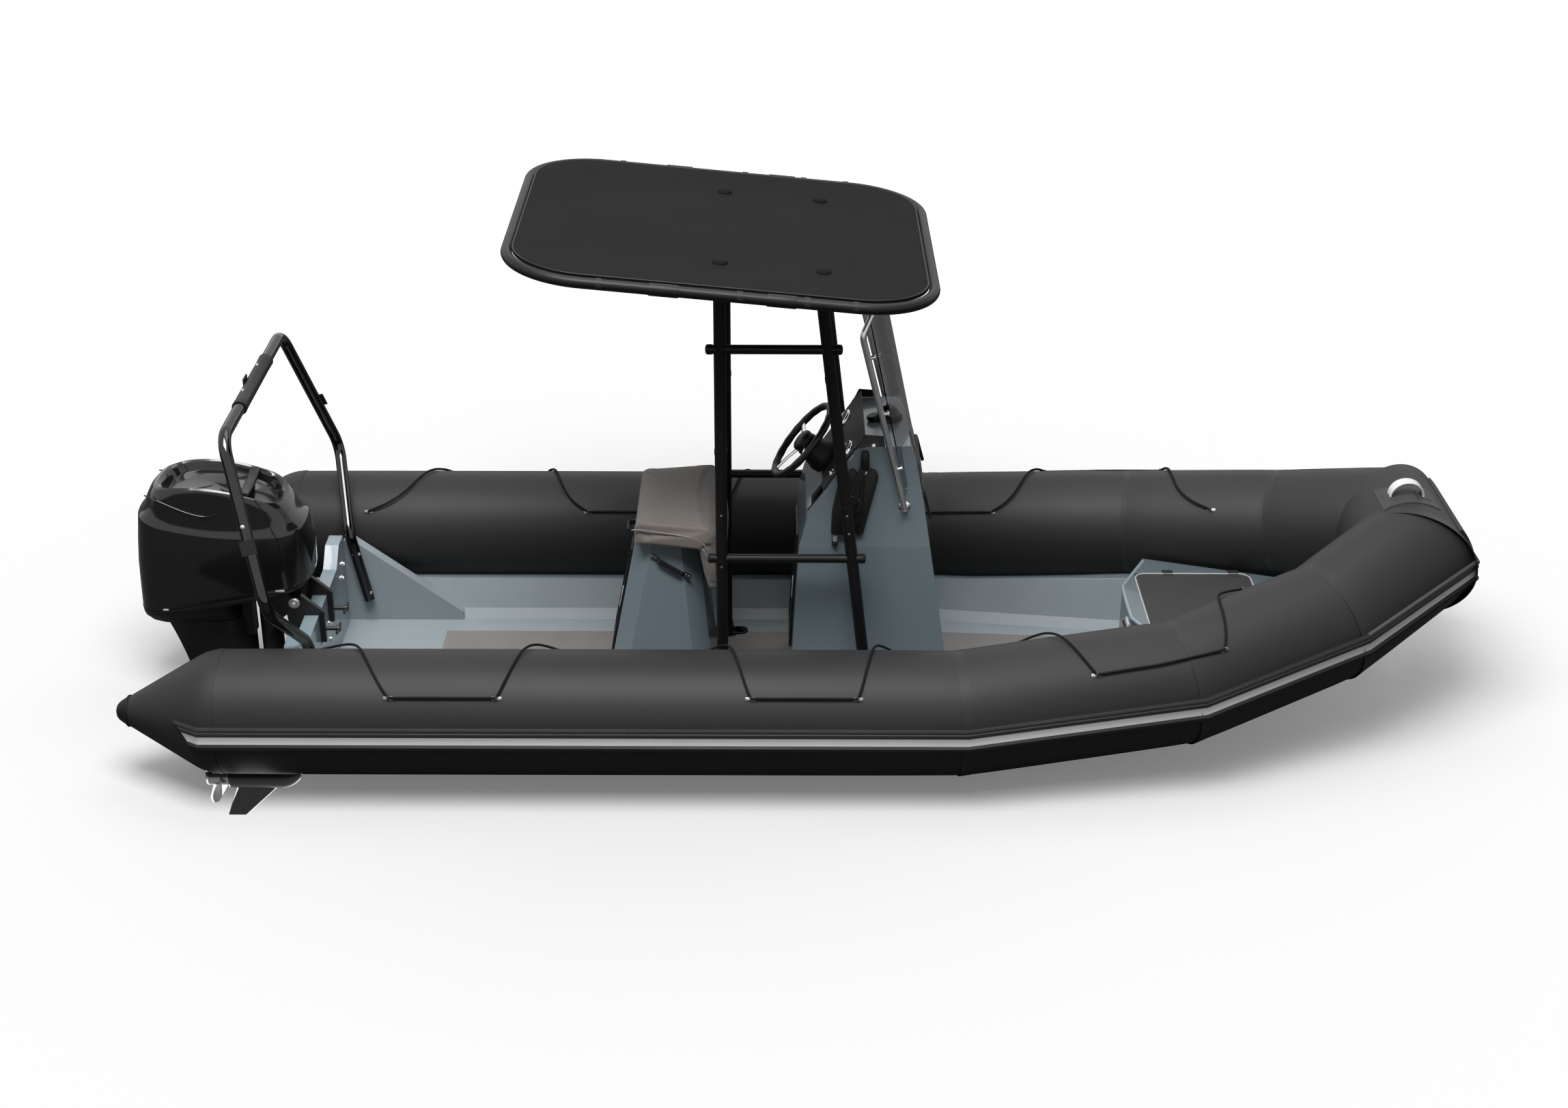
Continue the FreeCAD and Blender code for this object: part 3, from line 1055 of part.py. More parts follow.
def bow_band(low_deg, high_deg, half, inner, thick):
    mid_deg = (low_deg + high_deg) / 2
    lower, upper = [[on_bow(d, -half, lift) for d in (low_deg, mid_deg, high_deg)] for lift in (inner, inner + thick)]
    wire = Part.Wire([Part.Arc(*lower).toShape(), Part.LineSegment(lower[2], upper[2]).toShape(),
                      Part.Arc(*reversed(upper)).toShape(), Part.LineSegment(upper[0], lower[0]).toShape()])
    return Part.Face(wire).extrude(Vec(0, 2 * half, 0))


patch = bow_band(62, 118, n.patch_half, n.seat_gap, n.patch_thick)
foot_z = n.bend_d_z + n.tube_radius + n.seat_gap * 2 + n.patch_thick
half, thick = n.handle_span / 2, n.handle_thick
shoulder = half * 0.6
grip = [(-half, foot_z), (-shoulder, foot_z + n.handle_rise), (shoulder, foot_z + n.handle_rise), (half, foot_z),
        (half - thick, foot_z), (shoulder - thick * 0.7, foot_z + n.handle_rise - thick),
        (thick * 0.7 - shoulder, foot_z + n.handle_rise - thick), (thick - half, foot_z)]
handle = prism_x(grip, bend_d_x - n.handle_wide / 2, bend_d_x + n.handle_wide / 2)
feature("bow_handle", Part.makeCompound([patch, handle]))

# towing eyes: one under the stem, two on the transom
bow_eye_x = stem_x - n.bow_eye_back
keel_line = [(x, line_at(x).z - keel * n.tube_radius) for x, (share, keel, row) in zip(stations, FORE_SHARES)]
stem_low = along_table(keel_line, bow_eye_x)
lug = n.tow_eye_plate / 2


def lug_plate(points, centre):
    plate = prism_y(points, -n.tow_eye_half, n.tow_eye_half)
    return plate.cut(rod(Vec(centre[0], -lug, centre[1]), Vec(centre[0], lug, centre[1]), n.tow_eye_hole))


bow_eye = lug_plate([(bow_eye_x - lug, stem_low + lug), (bow_eye_x - lug, stem_low - lug * 1.6),
                     (bow_eye_x - lug / 2, stem_low - lug * 2.2), (bow_eye_x + lug / 2, stem_low - lug * 2.2),
                     (bow_eye_x + lug * 1.3, stem_low - lug), (bow_eye_x + lug * 1.3, stem_low + lug)],
                    (bow_eye_x, stem_low - lug))
stern_x = n.transom_x - n.transom_thick - n.seat_gap
stern_eye = lug_plate([(stern_x, n.stern_eye_z - lug), (stern_x, n.stern_eye_z + lug),
                       (stern_x - lug * 1.6, n.stern_eye_z + lug * 0.8), (stern_x - lug * 2.2, n.stern_eye_z),
                       (stern_x - lug * 1.6, n.stern_eye_z - lug * 0.8)], (stern_x - lug * 1.1, n.stern_eye_z))
stern_eye.translate(Vec(0, n.stern_eye_y, 0))
feature("towing_eyes", Part.makeCompound([main_solid(bow_eye.cut(hull_full)), stern_eye, mirror(stern_eye)]))

# Light arch over the stern, with a plate on each leg and one on the crossbar's sleeve
foot_y = knee_in_y - n.arch_radius - n.seat_gap
arch_points = [Vec(n.arch_foot_x, -foot_y, n.arch_foot_z), Vec(n.arch_low_x, -foot_y, n.arch_low_z),
               Vec(n.arch_knee_x, -n.arch_knee_y, n.arch_knee_z), Vec(n.arch_top_x, -n.arch_top_y, n.arch_top_z)]
arch_points = arch_points + [Vec(q.x, -q.y, q.z) for q in reversed(arch_points)]
sleeve = rod(Vec(n.arch_top_x, -n.sleeve_half, n.arch_top_z), Vec(n.arch_top_x, n.sleeve_half, n.arch_top_z),
             n.arch_radius + n.sleeve_wall)
feature("light_arch", pipe(arch_points, [n.arch_bend] * 6, n.arch_radius).fuse(sleeve).removeSplitter())
PLATE_SHARE = 0.62
side, thin = n.bracket_side / 2, n.bracket_thick
knee_at, top_at = arch_points[2], arch_points[3]
side_spot = top_at + (knee_at - top_at) * PLATE_SHARE
down = (knee_at - top_at).normalize()
out = down.cross(Vec(1, 0, 0)).normalize()
if out.y > 0:
    out = out * -1
level = out.cross(down).normalize()
reach = n.arch_radius + n.seat_gap
corners = [side_spot + out * reach + down * a + level * b
           for a, b in ((-side, -side), (-side, side), (side, side), (side, -side))]
outboard = face_of(corners).extrude(out * thin)
print("light plate", side_spot + out * (reach + thin), out)
aft_x = n.arch_top_x - reach - n.sleeve_wall
crossbar_plate = block(aft_x - thin, aft_x, -side, side, n.arch_top_z - side, n.arch_top_z + side)
feature("light_brackets", Part.makeCompound([outboard, mirror(outboard), crossbar_plate]))


# Outboard motor: the clamp bracket grips the transom and holds the tilt pin.
jaw_x, back_x = n.transom_x + n.clamp_jaw, n.transom_x - n.transom_thick
jaw_top, seat_z = n.transom_top + n.clamp_lip, n.transom_top + n.seat_gap
jaw_low = n.transom_top - n.clamp_jaw_high
cheek = [(back_x, n.clamp_low), (back_x, seat_z), (n.transom_x + n.seat_gap, seat_z),
         (n.transom_x + n.seat_gap, jaw_low), (jaw_x, jaw_low), (jaw_x, jaw_top),
         (n.tilt_x + n.clamp_ear, n.tilt_z + n.clamp_ear), (n.tilt_x - n.clamp_ear, n.tilt_z + n.clamp_ear),
         (n.tilt_x - n.clamp_back, n.tilt_z - n.clamp_waist), (back_x - n.clamp_foot, n.clamp_low)]
inner = n.clamp_half - n.clamp_thick
clamp = Drawn("clamp_bracket")
clamp.pad("XZ", -n.clamp_half - n.pin_proud, n.clamp_half + n.pin_proud, ("circle", n.tilt_x, n.tilt_z, n.tilt_pin))
clamp.pad("XZ", inner, n.clamp_half, cheek)
clamp.pad("XZ", -n.clamp_half, -inner, cheek)
clamp.done()

# swivel bracket: a barrel round the steering pin, and an arm up to the tilt pin
arm_half = inner - n.clamp_gap
arm = [(n.tilt_x + n.clamp_ear, n.tilt_z + n.clamp_ear), (n.tilt_x + n.clamp_ear, n.tilt_z - n.clamp_ear),
       (n.tilt_x - n.arm_back, n.tilt_z - n.arm_dip), (n.swivel_x, n.tilt_z - n.arm_foot),
       (n.swivel_x, n.swivel_high - n.overrun / 2)]
swivel = Drawn("swivel_bracket")
swivel.pad("XY", n.swivel_low, n.swivel_high, ("circle", n.swivel_x, Size(0.0, "0"), n.swivel_radius))
swivel.pad("XZ", -arm_half, arm_half, arm)
swivel.pocket("XZ", -n.clamp_half, n.clamp_half, ("circle", n.tilt_x, n.tilt_z, n.tilt_pin + n.running_fit))
swivel.pocket("XY", n.swivel_low - n.overrun, n.swivel_high + n.overrun,
              ("circle", n.swivel_x, Size(0.0, "0"), n.steer_pin + n.running_fit))
swivel.done()

# cowling rings: front inset, back inset and height of front and back over the seam's front end, as shares of the
# cowling's length and height; the middle value is the share of its half width
COWL_SHARES = [
    (0.000, 0.000, 1.000, 0.000, -0.326), (-0.006, 0.006, 1.000, 0.160, -0.060), (-0.008, 0.011, 0.990, 0.316, 0.197),
    (0.010, 0.035, 0.975, 0.560, 0.460), (0.043, 0.072, 0.930, 0.820, 0.724), (0.075, 0.105, 0.880, 0.940, 0.925),
    (0.131, 0.166, 0.800, 1.000, 1.048)]
COWL_CORNER_SHARE, BLUNT_SHARE = 0.22, 0.7
cowl_back_x = n.cowl_front_x - n.cowl_len


def cowl_ring(x_front, x_back, half, z_front, z_back):
    """A tilted rounded outline, blunt in front and full behind."""
    corners = [(x_front, half * 0.5), (x_front - half * BLUNT_SHARE, half), (x_back + half * 0.9, half),
               (x_back, half * 0.55)]
    corners = corners + [(x, -y) for x, y in reversed(corners)]
    ring = [Vec(x, y, z_back + (z_front - z_back) * (x - x_back) / (x_front - x_back)) for x, y in corners]
    return rounded(ring, [half * COWL_CORNER_SHARE] * 8)


def cowl_solid(inset):
    """The upper cowling's outside, or with an inset the hollow in it."""
    rings = []
    for k, (front_in, back_in, wide, front_up, back_up) in enumerate(COWL_SHARES):
        drop = inset if k in (0, len(COWL_SHARES) - 1) else 0
        rings.append(cowl_ring(n.cowl_front_x - n.cowl_len * front_in - inset, cowl_back_x + n.cowl_len * back_in + inset,
                               n.cowl_half * wide - inset, n.seam_front_z + n.cowl_high * front_up - drop,
                               n.seam_front_z + n.cowl_high * back_up - drop))
    return Part.makeLoft(rings, True, True)


feature("cowling_upper", cowl_solid(0).cut(cowl_solid(n.cowl_wall)))


def seam_z(x):
    return n.seam_front_z - n.seam_drop * (n.cowl_front_x - x) / n.cowl_len


# the engine block under the cowling: share of the cowling's length and, at the top, of its height
BLOCK_SHARES = [(0.178, None), (0.813, None), (0.773, 0.676), (0.192, 0.724)]
block_side = []
for along, high in BLOCK_SHARES:
    x = n.cowl_front_x - n.cowl_len * along
    block_side.append((x, seam_z(x) + n.seat_gap if high is None else n.seam_front_z + n.cowl_high * high))
block_half = n.cowl_half * 0.72
Drawn("powerhead").pad("XZ", -block_half, block_half, block_side).done()

pan_half, tail_half = n.cowl_half * 0.90, n.cowl_half * 0.45
pan_back_x = cowl_back_x + n.clear * 2
rim_front_x, rim_back_x = n.cowl_front_x - n.clear, cowl_back_x + n.clear
pan = Part.makeLoft([
    cowl_ring(rim_front_x, rim_back_x, n.cowl_half * 0.985, seam_z(rim_front_x), seam_z(rim_back_x)),
    cowl_ring(n.cowl_front_x - n.pan_front_in, pan_back_x, pan_half, n.pan_low_z, n.pan_back_z)], True, True)
tail_front_x = n.cowl_front_x - n.tail_front_in
tail = Part.makeLoft([
    cowl_ring(tail_front_x, pan_back_x, pan_half, n.pan_low_z - n.seam_drop * 0.29, n.pan_back_z + n.yoke_deep / 2),
    cowl_ring(tail_front_x - n.clamp_back / 4, pan_back_x + n.yoke_half * 1.2, tail_half, n.tail_low_z,
              n.tail_low_z - n.yoke_deep)], True, True)
feature("cowling_lower", pan.fuse(tail).removeSplitter())


# driveshaft leg: a smooth foil, deeper above; inset and length in leg half widths, height as a share of the way
# from the leg's top down to the plate
def leg_ring(x_front, x_back, half, z):
    pts = [Vec(x_front, 0, z), Vec(x_front - half * 1.2, half, z), Vec(x_back + half * 1.6, half * 0.8, z),
           Vec(x_back, 0, z)]
    top_curve, low_curve = Part.BSplineCurve(), Part.BSplineCurve()
    top_curve.interpolate(pts)
    low_curve.interpolate([Vec(q.x, -q.y, q.z) for q in reversed(pts)])
    return Part.Wire([top_curve.toShape(), low_curve.toShape()])


LEG_SHARES = [(0.0, 6.32, 1.0, 0.0), (0.0, 4.97, 1.0, 0.368), (0.065, 4.16, 0.8, 0.73), (0.065, 3.84, 0.7, 1.0)]
leg = Part.makeLoft([leg_ring(n.leg_front_x - n.leg_half * inset, n.leg_front_x - n.leg_half * (inset + long),
                              n.leg_half * wide, n.leg_top_z + (n.plate_z - n.leg_top_z) * deep)
                     for inset, long, wide, deep in LEG_SHARES], True, False)
yoke_x = n.leg_front_x - n.overrun
yoke_high = n.swivel_high + n.clear
yoke_under = n.swivel_low - n.clear
yokes = [block(yoke_x, n.swivel_x + n.overrun / 2, -n.yoke_half, n.yoke_half, z0, z1)
         for z0, z1 in ((yoke_high, yoke_high + n.yoke_deep), (yoke_under - n.yoke_low, yoke_under))]
pin_low = n.swivel_low - n.overrun
steer_shaft = Part.makeCylinder(n.steer_pin, yoke_high - pin_low, Vec(n.swivel_x, 0, pin_low))
spine = block(n.leg_front_x - n.spine_deep, n.leg_front_x, -n.yoke_half, n.yoke_half, n.spine_low_z,
              yoke_high + n.yoke_deep)
leg_all = leg.fuse([yokes[1], steer_shaft, yokes[0], spine])
feature("engine_leg", main_solid(leg_all.cut(pan).cut(tail)))

# gearcase: plate over the propeller, strut, torpedo, skeg and shaft
PLATE_SHARES = [(0.0, 0.0), (0.116, 0.6), (0.442, 1.0), (1.0, 0.9)]
plate = [(n.plate_front_x - n.plate_len * along, n.plate_half * wide) for along, wide in PLATE_SHARES]
plate = prism_z(plate + [(x, -y) for x, y in reversed(plate[1:])], n.plate_z - n.plate_thick, n.plate_z)

STRUT_SHARES = [(1.0, 0.0), (0.93, 0.6), (0.8, 0.9), (0.6, 1.0), (0.3, 0.75), (0.0, 0.12)]


def strut_ring(x_front, x_back, half, z):
    ring = [Vec(x_back + (x_front - x_back) * along, half * wide, z) for along, wide in STRUT_SHARES]
    ring = ring + [Vec(q.x, -q.y, z) for q in reversed(ring[1:])]
    return Part.makePolygon(ring + [ring[0]])


strut_front_x, strut_back_x = n.case_nose_x - n.case_radius * 1.07, n.case_back_x + n.case_radius * 0.18
strut = Part.makeLoft([
    strut_ring(strut_front_x - n.overrun, strut_back_x - n.case_radius * 0.82, n.leg_half * 0.6,
               n.plate_z - n.plate_thick / 2),
    strut_ring(strut_front_x, strut_back_x, n.leg_half * 0.45, n.prop_z)], True, True)
nose_len, r = n.case_radius * 1.6, n.case_radius
torpedo = Part.makeCylinder(r, n.case_nose_x - n.case_back_x - nose_len, Vec(n.case_back_x, 0, n.prop_z), Vec(1, 0, 0))
nose_pts = [Vec(n.case_nose_x - nose_len, 0, 0), Vec(n.case_nose_x - nose_len, r, 0),
            Vec(n.case_nose_x - r * 0.7, r * 0.72, 0), Vec(n.case_nose_x, 0, 0)]
nose_edges = [Part.LineSegment(nose_pts[0], nose_pts[1]).toShape(), Part.Arc(*nose_pts[1:]).toShape(),
              Part.LineSegment(nose_pts[3], nose_pts[0]).toShape()]
nose = Part.Face(Part.Wire(nose_edges)).revolve(Vec(0, 0, 0), Vec(1, 0, 0), 360)
nose.translate(Vec(0, 0, n.prop_z))
# skeg outline: share of the torpedo's length back from its nose, share of the way down to the skeg's foot
SKEG_SHARES = [(0.25, 0.0), (0.968, 0.0), (0.917, 0.293), (1.124, 1.0), (0.857, 1.0), (0.411, 0.341)]
case_len, skeg_deep = n.case_nose_x - n.case_back_x, n.prop_z - n.skeg_low
skeg = prism_y([(n.case_nose_x - case_len * along, n.prop_z - skeg_deep * down) for along, down in SKEG_SHARES],
               -n.skeg_half, n.skeg_half)
prop_mid_x = n.case_back_x - n.prop_gap - n.prop_len / 2
prop_shaft = rod(Vec(n.case_back_x, 0, n.prop_z), Vec(prop_mid_x - n.prop_len / 2 - n.clear * 2, 0, n.prop_z),
                 n.prop_shaft)
feature("gearcase", plate.fuse([strut, torpedo, nose, skeg, prop_shaft]).removeSplitter())

# propeller: three blades, each lofted from its root to its tip; reach and half chord as shares of the
# propeller's radius, and the pitch in degrees
BLADE_SHARES = [(0.258, 0.23, 62.0), (0.55, 0.354, 45.0), (0.85, 0.30, 33.0), (1.0, 0.115, 28.0)]
blades = []
for k in range(3):
    rings = []
    for out_share, chord_share, pitch in BLADE_SHARES:
        turn = math.radians(pitch)
        along = Vec(math.cos(turn), math.sin(turn), 0) * (n.prop_radius * chord_share)
        side = Vec(-math.sin(turn), math.cos(turn), 0) * n.blade_half
        pts = [-along - side, along - side, along + side, -along + side]
        pts = [Vec(q.x * 0.75, q.y, n.prop_radius * out_share) for q in pts]
        rings.append(Part.makePolygon(pts + [pts[0]]))
    blade = Part.makeLoft(rings, True, True)
    blade.rotate(Vec(0, 0, 0), Vec(1, 0, 0), 120 * k)
    blades.append(blade)
hub = Part.makeCylinder(n.prop_hub, n.prop_len, Vec(-n.prop_len / 2, 0, 0), Vec(1, 0, 0))
bore = Part.makeCylinder(n.prop_shaft + n.running_fit, 2 * n.prop_len, Vec(-n.prop_len, 0, 0), Vec(1, 0, 0))
prop = main_solid(hub.fuse(blades).cut(bore))
prop.translate(Vec(prop_mid_x, 0, n.prop_z))
feature("propeller", prop)

doc.recompute()
bad = [obj.Name for obj in doc.Objects if "Invalid" in obj.State or "Error" in obj.State]
if bad:
    raise SystemExit("failed objects: " + ", ".join(bad))
for obj in PARTS:
    if obj.Shape.isNull() or not obj.Shape.isValid():
        raise SystemExit("bad shape: " + obj.Label)

os.makedirs("parts", exist_ok=True)
for obj in PARTS:
    obj.Shape.exportStep("parts/%s.step" % obj.Label)
    print(obj.Label, len(obj.Shape.Solids), "solids", round(obj.Shape.Volume / 1000.0), "cm3")
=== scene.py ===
"""Looks of the open inflatable boat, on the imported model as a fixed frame.

+X points to the bow, +Y to port, +Z up, in metres; the waterline lies at z = 0.
"""

import json
import math

import bmesh
import bpy
from mathutils import Matrix, Vector


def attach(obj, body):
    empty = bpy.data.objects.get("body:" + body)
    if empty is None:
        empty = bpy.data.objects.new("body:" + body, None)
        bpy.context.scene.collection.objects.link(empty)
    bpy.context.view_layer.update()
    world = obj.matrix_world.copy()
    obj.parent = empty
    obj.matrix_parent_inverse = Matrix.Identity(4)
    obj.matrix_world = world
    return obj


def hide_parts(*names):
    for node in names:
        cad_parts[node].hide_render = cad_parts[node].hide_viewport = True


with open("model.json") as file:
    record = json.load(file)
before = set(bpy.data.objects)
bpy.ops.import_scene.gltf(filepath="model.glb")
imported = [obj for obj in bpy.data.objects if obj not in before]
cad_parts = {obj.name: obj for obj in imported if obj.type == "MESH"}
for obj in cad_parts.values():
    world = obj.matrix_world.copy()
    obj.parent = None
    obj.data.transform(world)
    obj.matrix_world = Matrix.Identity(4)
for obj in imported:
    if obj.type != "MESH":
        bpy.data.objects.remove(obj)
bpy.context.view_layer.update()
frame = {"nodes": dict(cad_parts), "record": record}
nodes = frame["nodes"]

# Camera, solved from the tubes' outlines in the photograph
CAMERA_TARGET = Vector((-0.11, 0.0, 0.578))
CAMERA_DISTANCE = 9.633
CAMERA_ELEVATION = math.radians(26.425)
CAMERA_AZIMUTH = math.radians(-0.233)
CAMERA_ROLL = math.radians(0.261)
CAMERA_LENS = 51.74

# Side tube, port side, from the stern cone to the blunt bow
TUBE_RADIUS = 0.25
TUBE_LINE = [Vector(p) for p in ((-2.39, 0.86, 0.3), (0.59, 0.86, 0.3), (1.485, 0.73, 0.371), (2.123, 0.455, 0.501),
    (2.505, 0.175, 0.64), (2.505, -0.175, 0.64), (2.123, -0.455, 0.501))]
CONE_TIP = -2.766
TAPE_HALF = 0.022
TAPE_THICK = 0.0012
TAPE_LIFT = 0.0004
SEAM_PINCH = 0.0025

# Lifeline: its strands, the length of one turn of its lay, and its centreline's height over the tube
ROPE_RADIUS = 0.0055
STRAND_RADIUS = 0.003
ROPE_LAY = 0.026
ROPE_STEP = 0.003
ROPE_LIFT = 0.01
SIDES = ((1, "port"), (-1, "starboard"))


# Building by hand: small helpers around Blender's own tools
def deselect():
    if bpy.context.object and bpy.context.object.mode != "OBJECT":
        bpy.ops.object.mode_set(mode="OBJECT")
    bpy.ops.object.select_all(action="DESELECT")


def pick(*objects):
    """Selects these objects; the first is the active one."""
    deselect()
    for obj in objects:
        obj.select_set(True)
    bpy.context.view_layer.objects.active = objects[0]
    return objects[0]


def settle(piece):
    """Puts the piece's place, turn and size into its mesh."""
    pick(piece)
    bpy.ops.object.transform_apply(location=True, rotation=True, scale=True)
    return piece


def modify(piece, kind, **values):
    """Adds a modifier and applies it."""
    pick(piece)
    mod = piece.modifiers.new(kind.lower(), kind)
    for name, value in values.items():
        setattr(mod, name, value)
    bpy.ops.object.modifier_apply(modifier=mod.name)
    return piece


def bevel(piece, width, segments=2, angle=35):
    return modify(piece, "BEVEL", width=width, segments=segments, limit_method="ANGLE",
        angle_limit=math.radians(angle), harden_normals=False)


def join(name, pieces):
    pick(*pieces)
    if len(pieces) > 1:
        bpy.ops.object.join()
    piece = bpy.context.object
    piece.name = name
    return piece


def finish(piece, material, body="boat", angle=35, stands_for=()):
    """Last step of a new piece: finish, smooth shading and the body it rides on."""
    settle(piece)
    piece.data.materials.clear()
    piece.data.materials.append(material)
    pick(piece)
    bpy.ops.object.shade_smooth_by_angle(angle=math.radians(angle))
    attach(piece, body)
    if stands_for:
        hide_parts(*stands_for)
    return piece


def round_angles(count):
    """Angles of evenly spaced points round a circle."""
    return [2 * math.pi * k / count for k in range(count)]


def turn_to(direction):
    """Turn that points local +Z along the direction."""
    return Vector(direction).to_track_quat("Z", "Y").to_matrix().to_4x4()


def add_box(name, centre, size, round_edge=0.0, segments=2):
    deselect()
    bpy.ops.mesh.primitive_cube_add(size=1.0, location=centre)
    piece = bpy.context.object
    piece.name = name
    piece.scale = size
    settle(piece)
    if round_edge:
        bevel(piece, round_edge, segments)
    return piece


def add_rod(name, start, end, radius, sides=32, round_edge=0.0):
    start, end = Vector(start), Vector(end)
    deselect()
    bpy.ops.mesh.primitive_cylinder_add(vertices=sides, radius=radius, depth=(end - start).length)
    piece = bpy.context.object
    piece.name = name
    piece.matrix_world = Matrix.Translation((start + end) / 2) @ turn_to(end - start)
    settle(piece)
    if round_edge:
        bevel(piece, round_edge)
    return piece


def add_ring(name, centre, axis, major, minor, segments=48, sides=12):
    deselect()
    bpy.ops.mesh.primitive_torus_add(major_radius=major, minor_radius=minor, major_segments=segments,
        minor_segments=sides)
    piece = bpy.context.object
    piece.name = name
    piece.matrix_world = Matrix.Translation(Vector(centre)) @ turn_to(axis)
    return settle(piece)


def extruded_rings(name, rings, close_start=True, close_end=True):
    """A skin made by extruding the first ring on to each next one."""
    deselect()
    bpy.ops.mesh.primitive_circle_add(vertices=len(rings[0]), radius=1.0, fill_type="NOTHING")
    piece = bpy.context.object
    piece.name = name
    for vert, point in zip(piece.data.vertices, rings[0]):
        vert.co = point
    bpy.ops.object.mode_set(mode="EDIT")
    bpy.ops.mesh.select_all(action="SELECT")
    if close_start:
        bpy.ops.mesh.edge_face_add()
    for step, ring in enumerate(rings[1:]):
        if close_start and step == 0:
            bpy.ops.mesh.extrude_region_move()
        else:
            bpy.ops.mesh.extrude_edges_move()
        grid = bmesh.from_edit_mesh(piece.data)
        moved = [v for v in grid.verts if v.select]
        moved.sort(key=lambda v: v.index)
        for vert, point in zip(moved, ring):
            vert.co = point
        bmesh.update_edit_mesh(piece.data)
    if close_end:
        bpy.ops.mesh.edge_face_add()
    bpy.ops.mesh.select_all(action="SELECT")
    bpy.ops.mesh.remove_doubles(threshold=0.00001)
    bpy.ops.mesh.normals_make_consistent(inside=False)
    bpy.ops.object.mode_set(mode="OBJECT")
    return piece


def revolved(name, profile, centre=(0, 0, 0), axis=(0, 0, 1), sides=48):
    """A turned piece; the profile holds (distance along the axis, radius) from one end to the other."""
    turn = turn_to(axis).to_3x3()
    return extruded_rings(name, [[Vector(centre) + turn @ Vector((radius * math.cos(a), radius * math.sin(a), along))
        for a in round_angles(sides)] for along, radius in profile])


def turned(name, profile, centre=(0, 0, 0), axis=(0, 0, 1), sides=48):
    """The same from a profile in millimetres."""
    return revolved(name, [(along / 1000, radius / 1000) for along, radius in profile], centre, axis, sides)


def faced(name, corners, faces, outward=False):
    """A piece drawn in edit mode: its corners, and each face as a list of corner numbers."""
    deselect()
    bpy.ops.mesh.primitive_plane_add(size=1.0)
    piece = bpy.context.object
    piece.name = name
    bpy.ops.object.mode_set(mode="EDIT")
    grid = bmesh.from_edit_mesh(piece.data)
    grid.clear()
    verts = [grid.verts.new(c) for c in corners]
    for face in faces:
        grid.faces.new([verts[k] for k in face])
    if outward:
        bmesh.ops.recalc_face_normals(grid, faces=grid.faces)
    bmesh.update_edit_mesh(piece.data)
    bpy.ops.object.mode_set(mode="OBJECT")
    return piece


def plate(name, corners, thickness, round_edge=0.0):
    """A flat sheet from its corners in order, thickened along its own normal."""
    piece = faced(name, corners, [range(len(corners))])
    modify(piece, "SOLIDIFY", thickness=thickness, offset=1.0)
    if round_edge:
        bevel(piece, round_edge)
    return piece


def new_line(name, points, kind="NURBS", rounding=3, radius=0.0, fineness=8, corners=0):
    """A curve through or near these points, round in section if it has a radius."""
    curve = bpy.data.curves.new(name, "CURVE")
    curve.dimensions = "3D"
    curve.resolution_u = fineness
    curve.bevel_depth = radius
    curve.bevel_resolution = corners
    curve.use_fill_caps = radius > 0
    spline = curve.splines.new(kind)
    spline.points.add(len(points) - 1)
    for point, place in zip(spline.points, points):
        point.co = (*place, 1.0)
    if kind == "NURBS":
        spline.order_u = rounding
        spline.use_endpoint_u = True
    line = bpy.data.objects.new(name, curve)
    bpy.context.collection.objects.link(line)
    return line


def as_mesh(line):
    pick(line)
    bpy.ops.object.convert(target="MESH")
    return bpy.context.object


def bent_bar(name, points, radius, rounding=3):
    """A round bar along a smooth line near these points."""
    return as_mesh(new_line(name, points, rounding=rounding, radius=radius, corners=3))


def facing(place, way, along=None):
    """Place and turn of a piece: local +Z points the given way and, if given, local +X lies along the other."""
    up = Vector(way).normalized()
    if along is None:
        return Matrix.Translation(Vector(place)) @ turn_to(up)
    side = up.cross(Vector(along)).normalized()
    turn = Matrix((side.cross(up), side, up)).transposed().to_4x4()
    return Matrix.Translation(Vector(place)) @ turn


def copies(name, master, spots):
    """Copies of one modelled piece, joined; each spot is a place and turn from facing()."""
    made = []
    for spot in spots:
        copy = master.copy()
        copy.data = master.data.copy()
        bpy.context.collection.objects.link(copy)
        copy.matrix_world = spot
        made.append(settle(copy))
    bpy.data.objects.remove(master)
    return join(name, made)


# Node groups that several finishes share
def feed(tree, node, **inputs):
    """Sets a node's inputs, each to a value or from another node's output."""
    for label, value in inputs.items():
        socket = node.inputs[label.replace("_", " ")]
        if isinstance(value, bpy.types.NodeSocket):
            tree.links.new(value, socket)
        else:
            socket.default_value = value


def add_node(tree, kind, **inputs):
    node = tree.nodes.new("ShaderNode" + kind)
    feed(tree, node, **inputs)
    return node


def math_node(tree, operation, first, second, clamp=False):
    node = tree.nodes.new("ShaderNodeMath")
    node.operation = operation
    node.use_clamp = clamp
    for socket, value in zip(node.inputs, (first, second)):
        if isinstance(value, (int, float)):
            socket.default_value = value
        else:
            tree.links.new(value, socket)
    return node.outputs[0]


def new_group(name, result, **settings):
    """A node group with one result; gives the group, its settings' sockets and its output node."""
    group = bpy.data.node_groups.new(name, "ShaderNodeTree")
    for label, value in settings.items():
        group.interface.new_socket(label, in_out="INPUT", socket_type="NodeSocketFloat").default_value = value
    group.interface.new_socket(result, in_out="OUTPUT", socket_type="NodeSocketFloat")
    return group, group.nodes.new("NodeGroupInput").outputs, group.nodes.new("NodeGroupOutput")


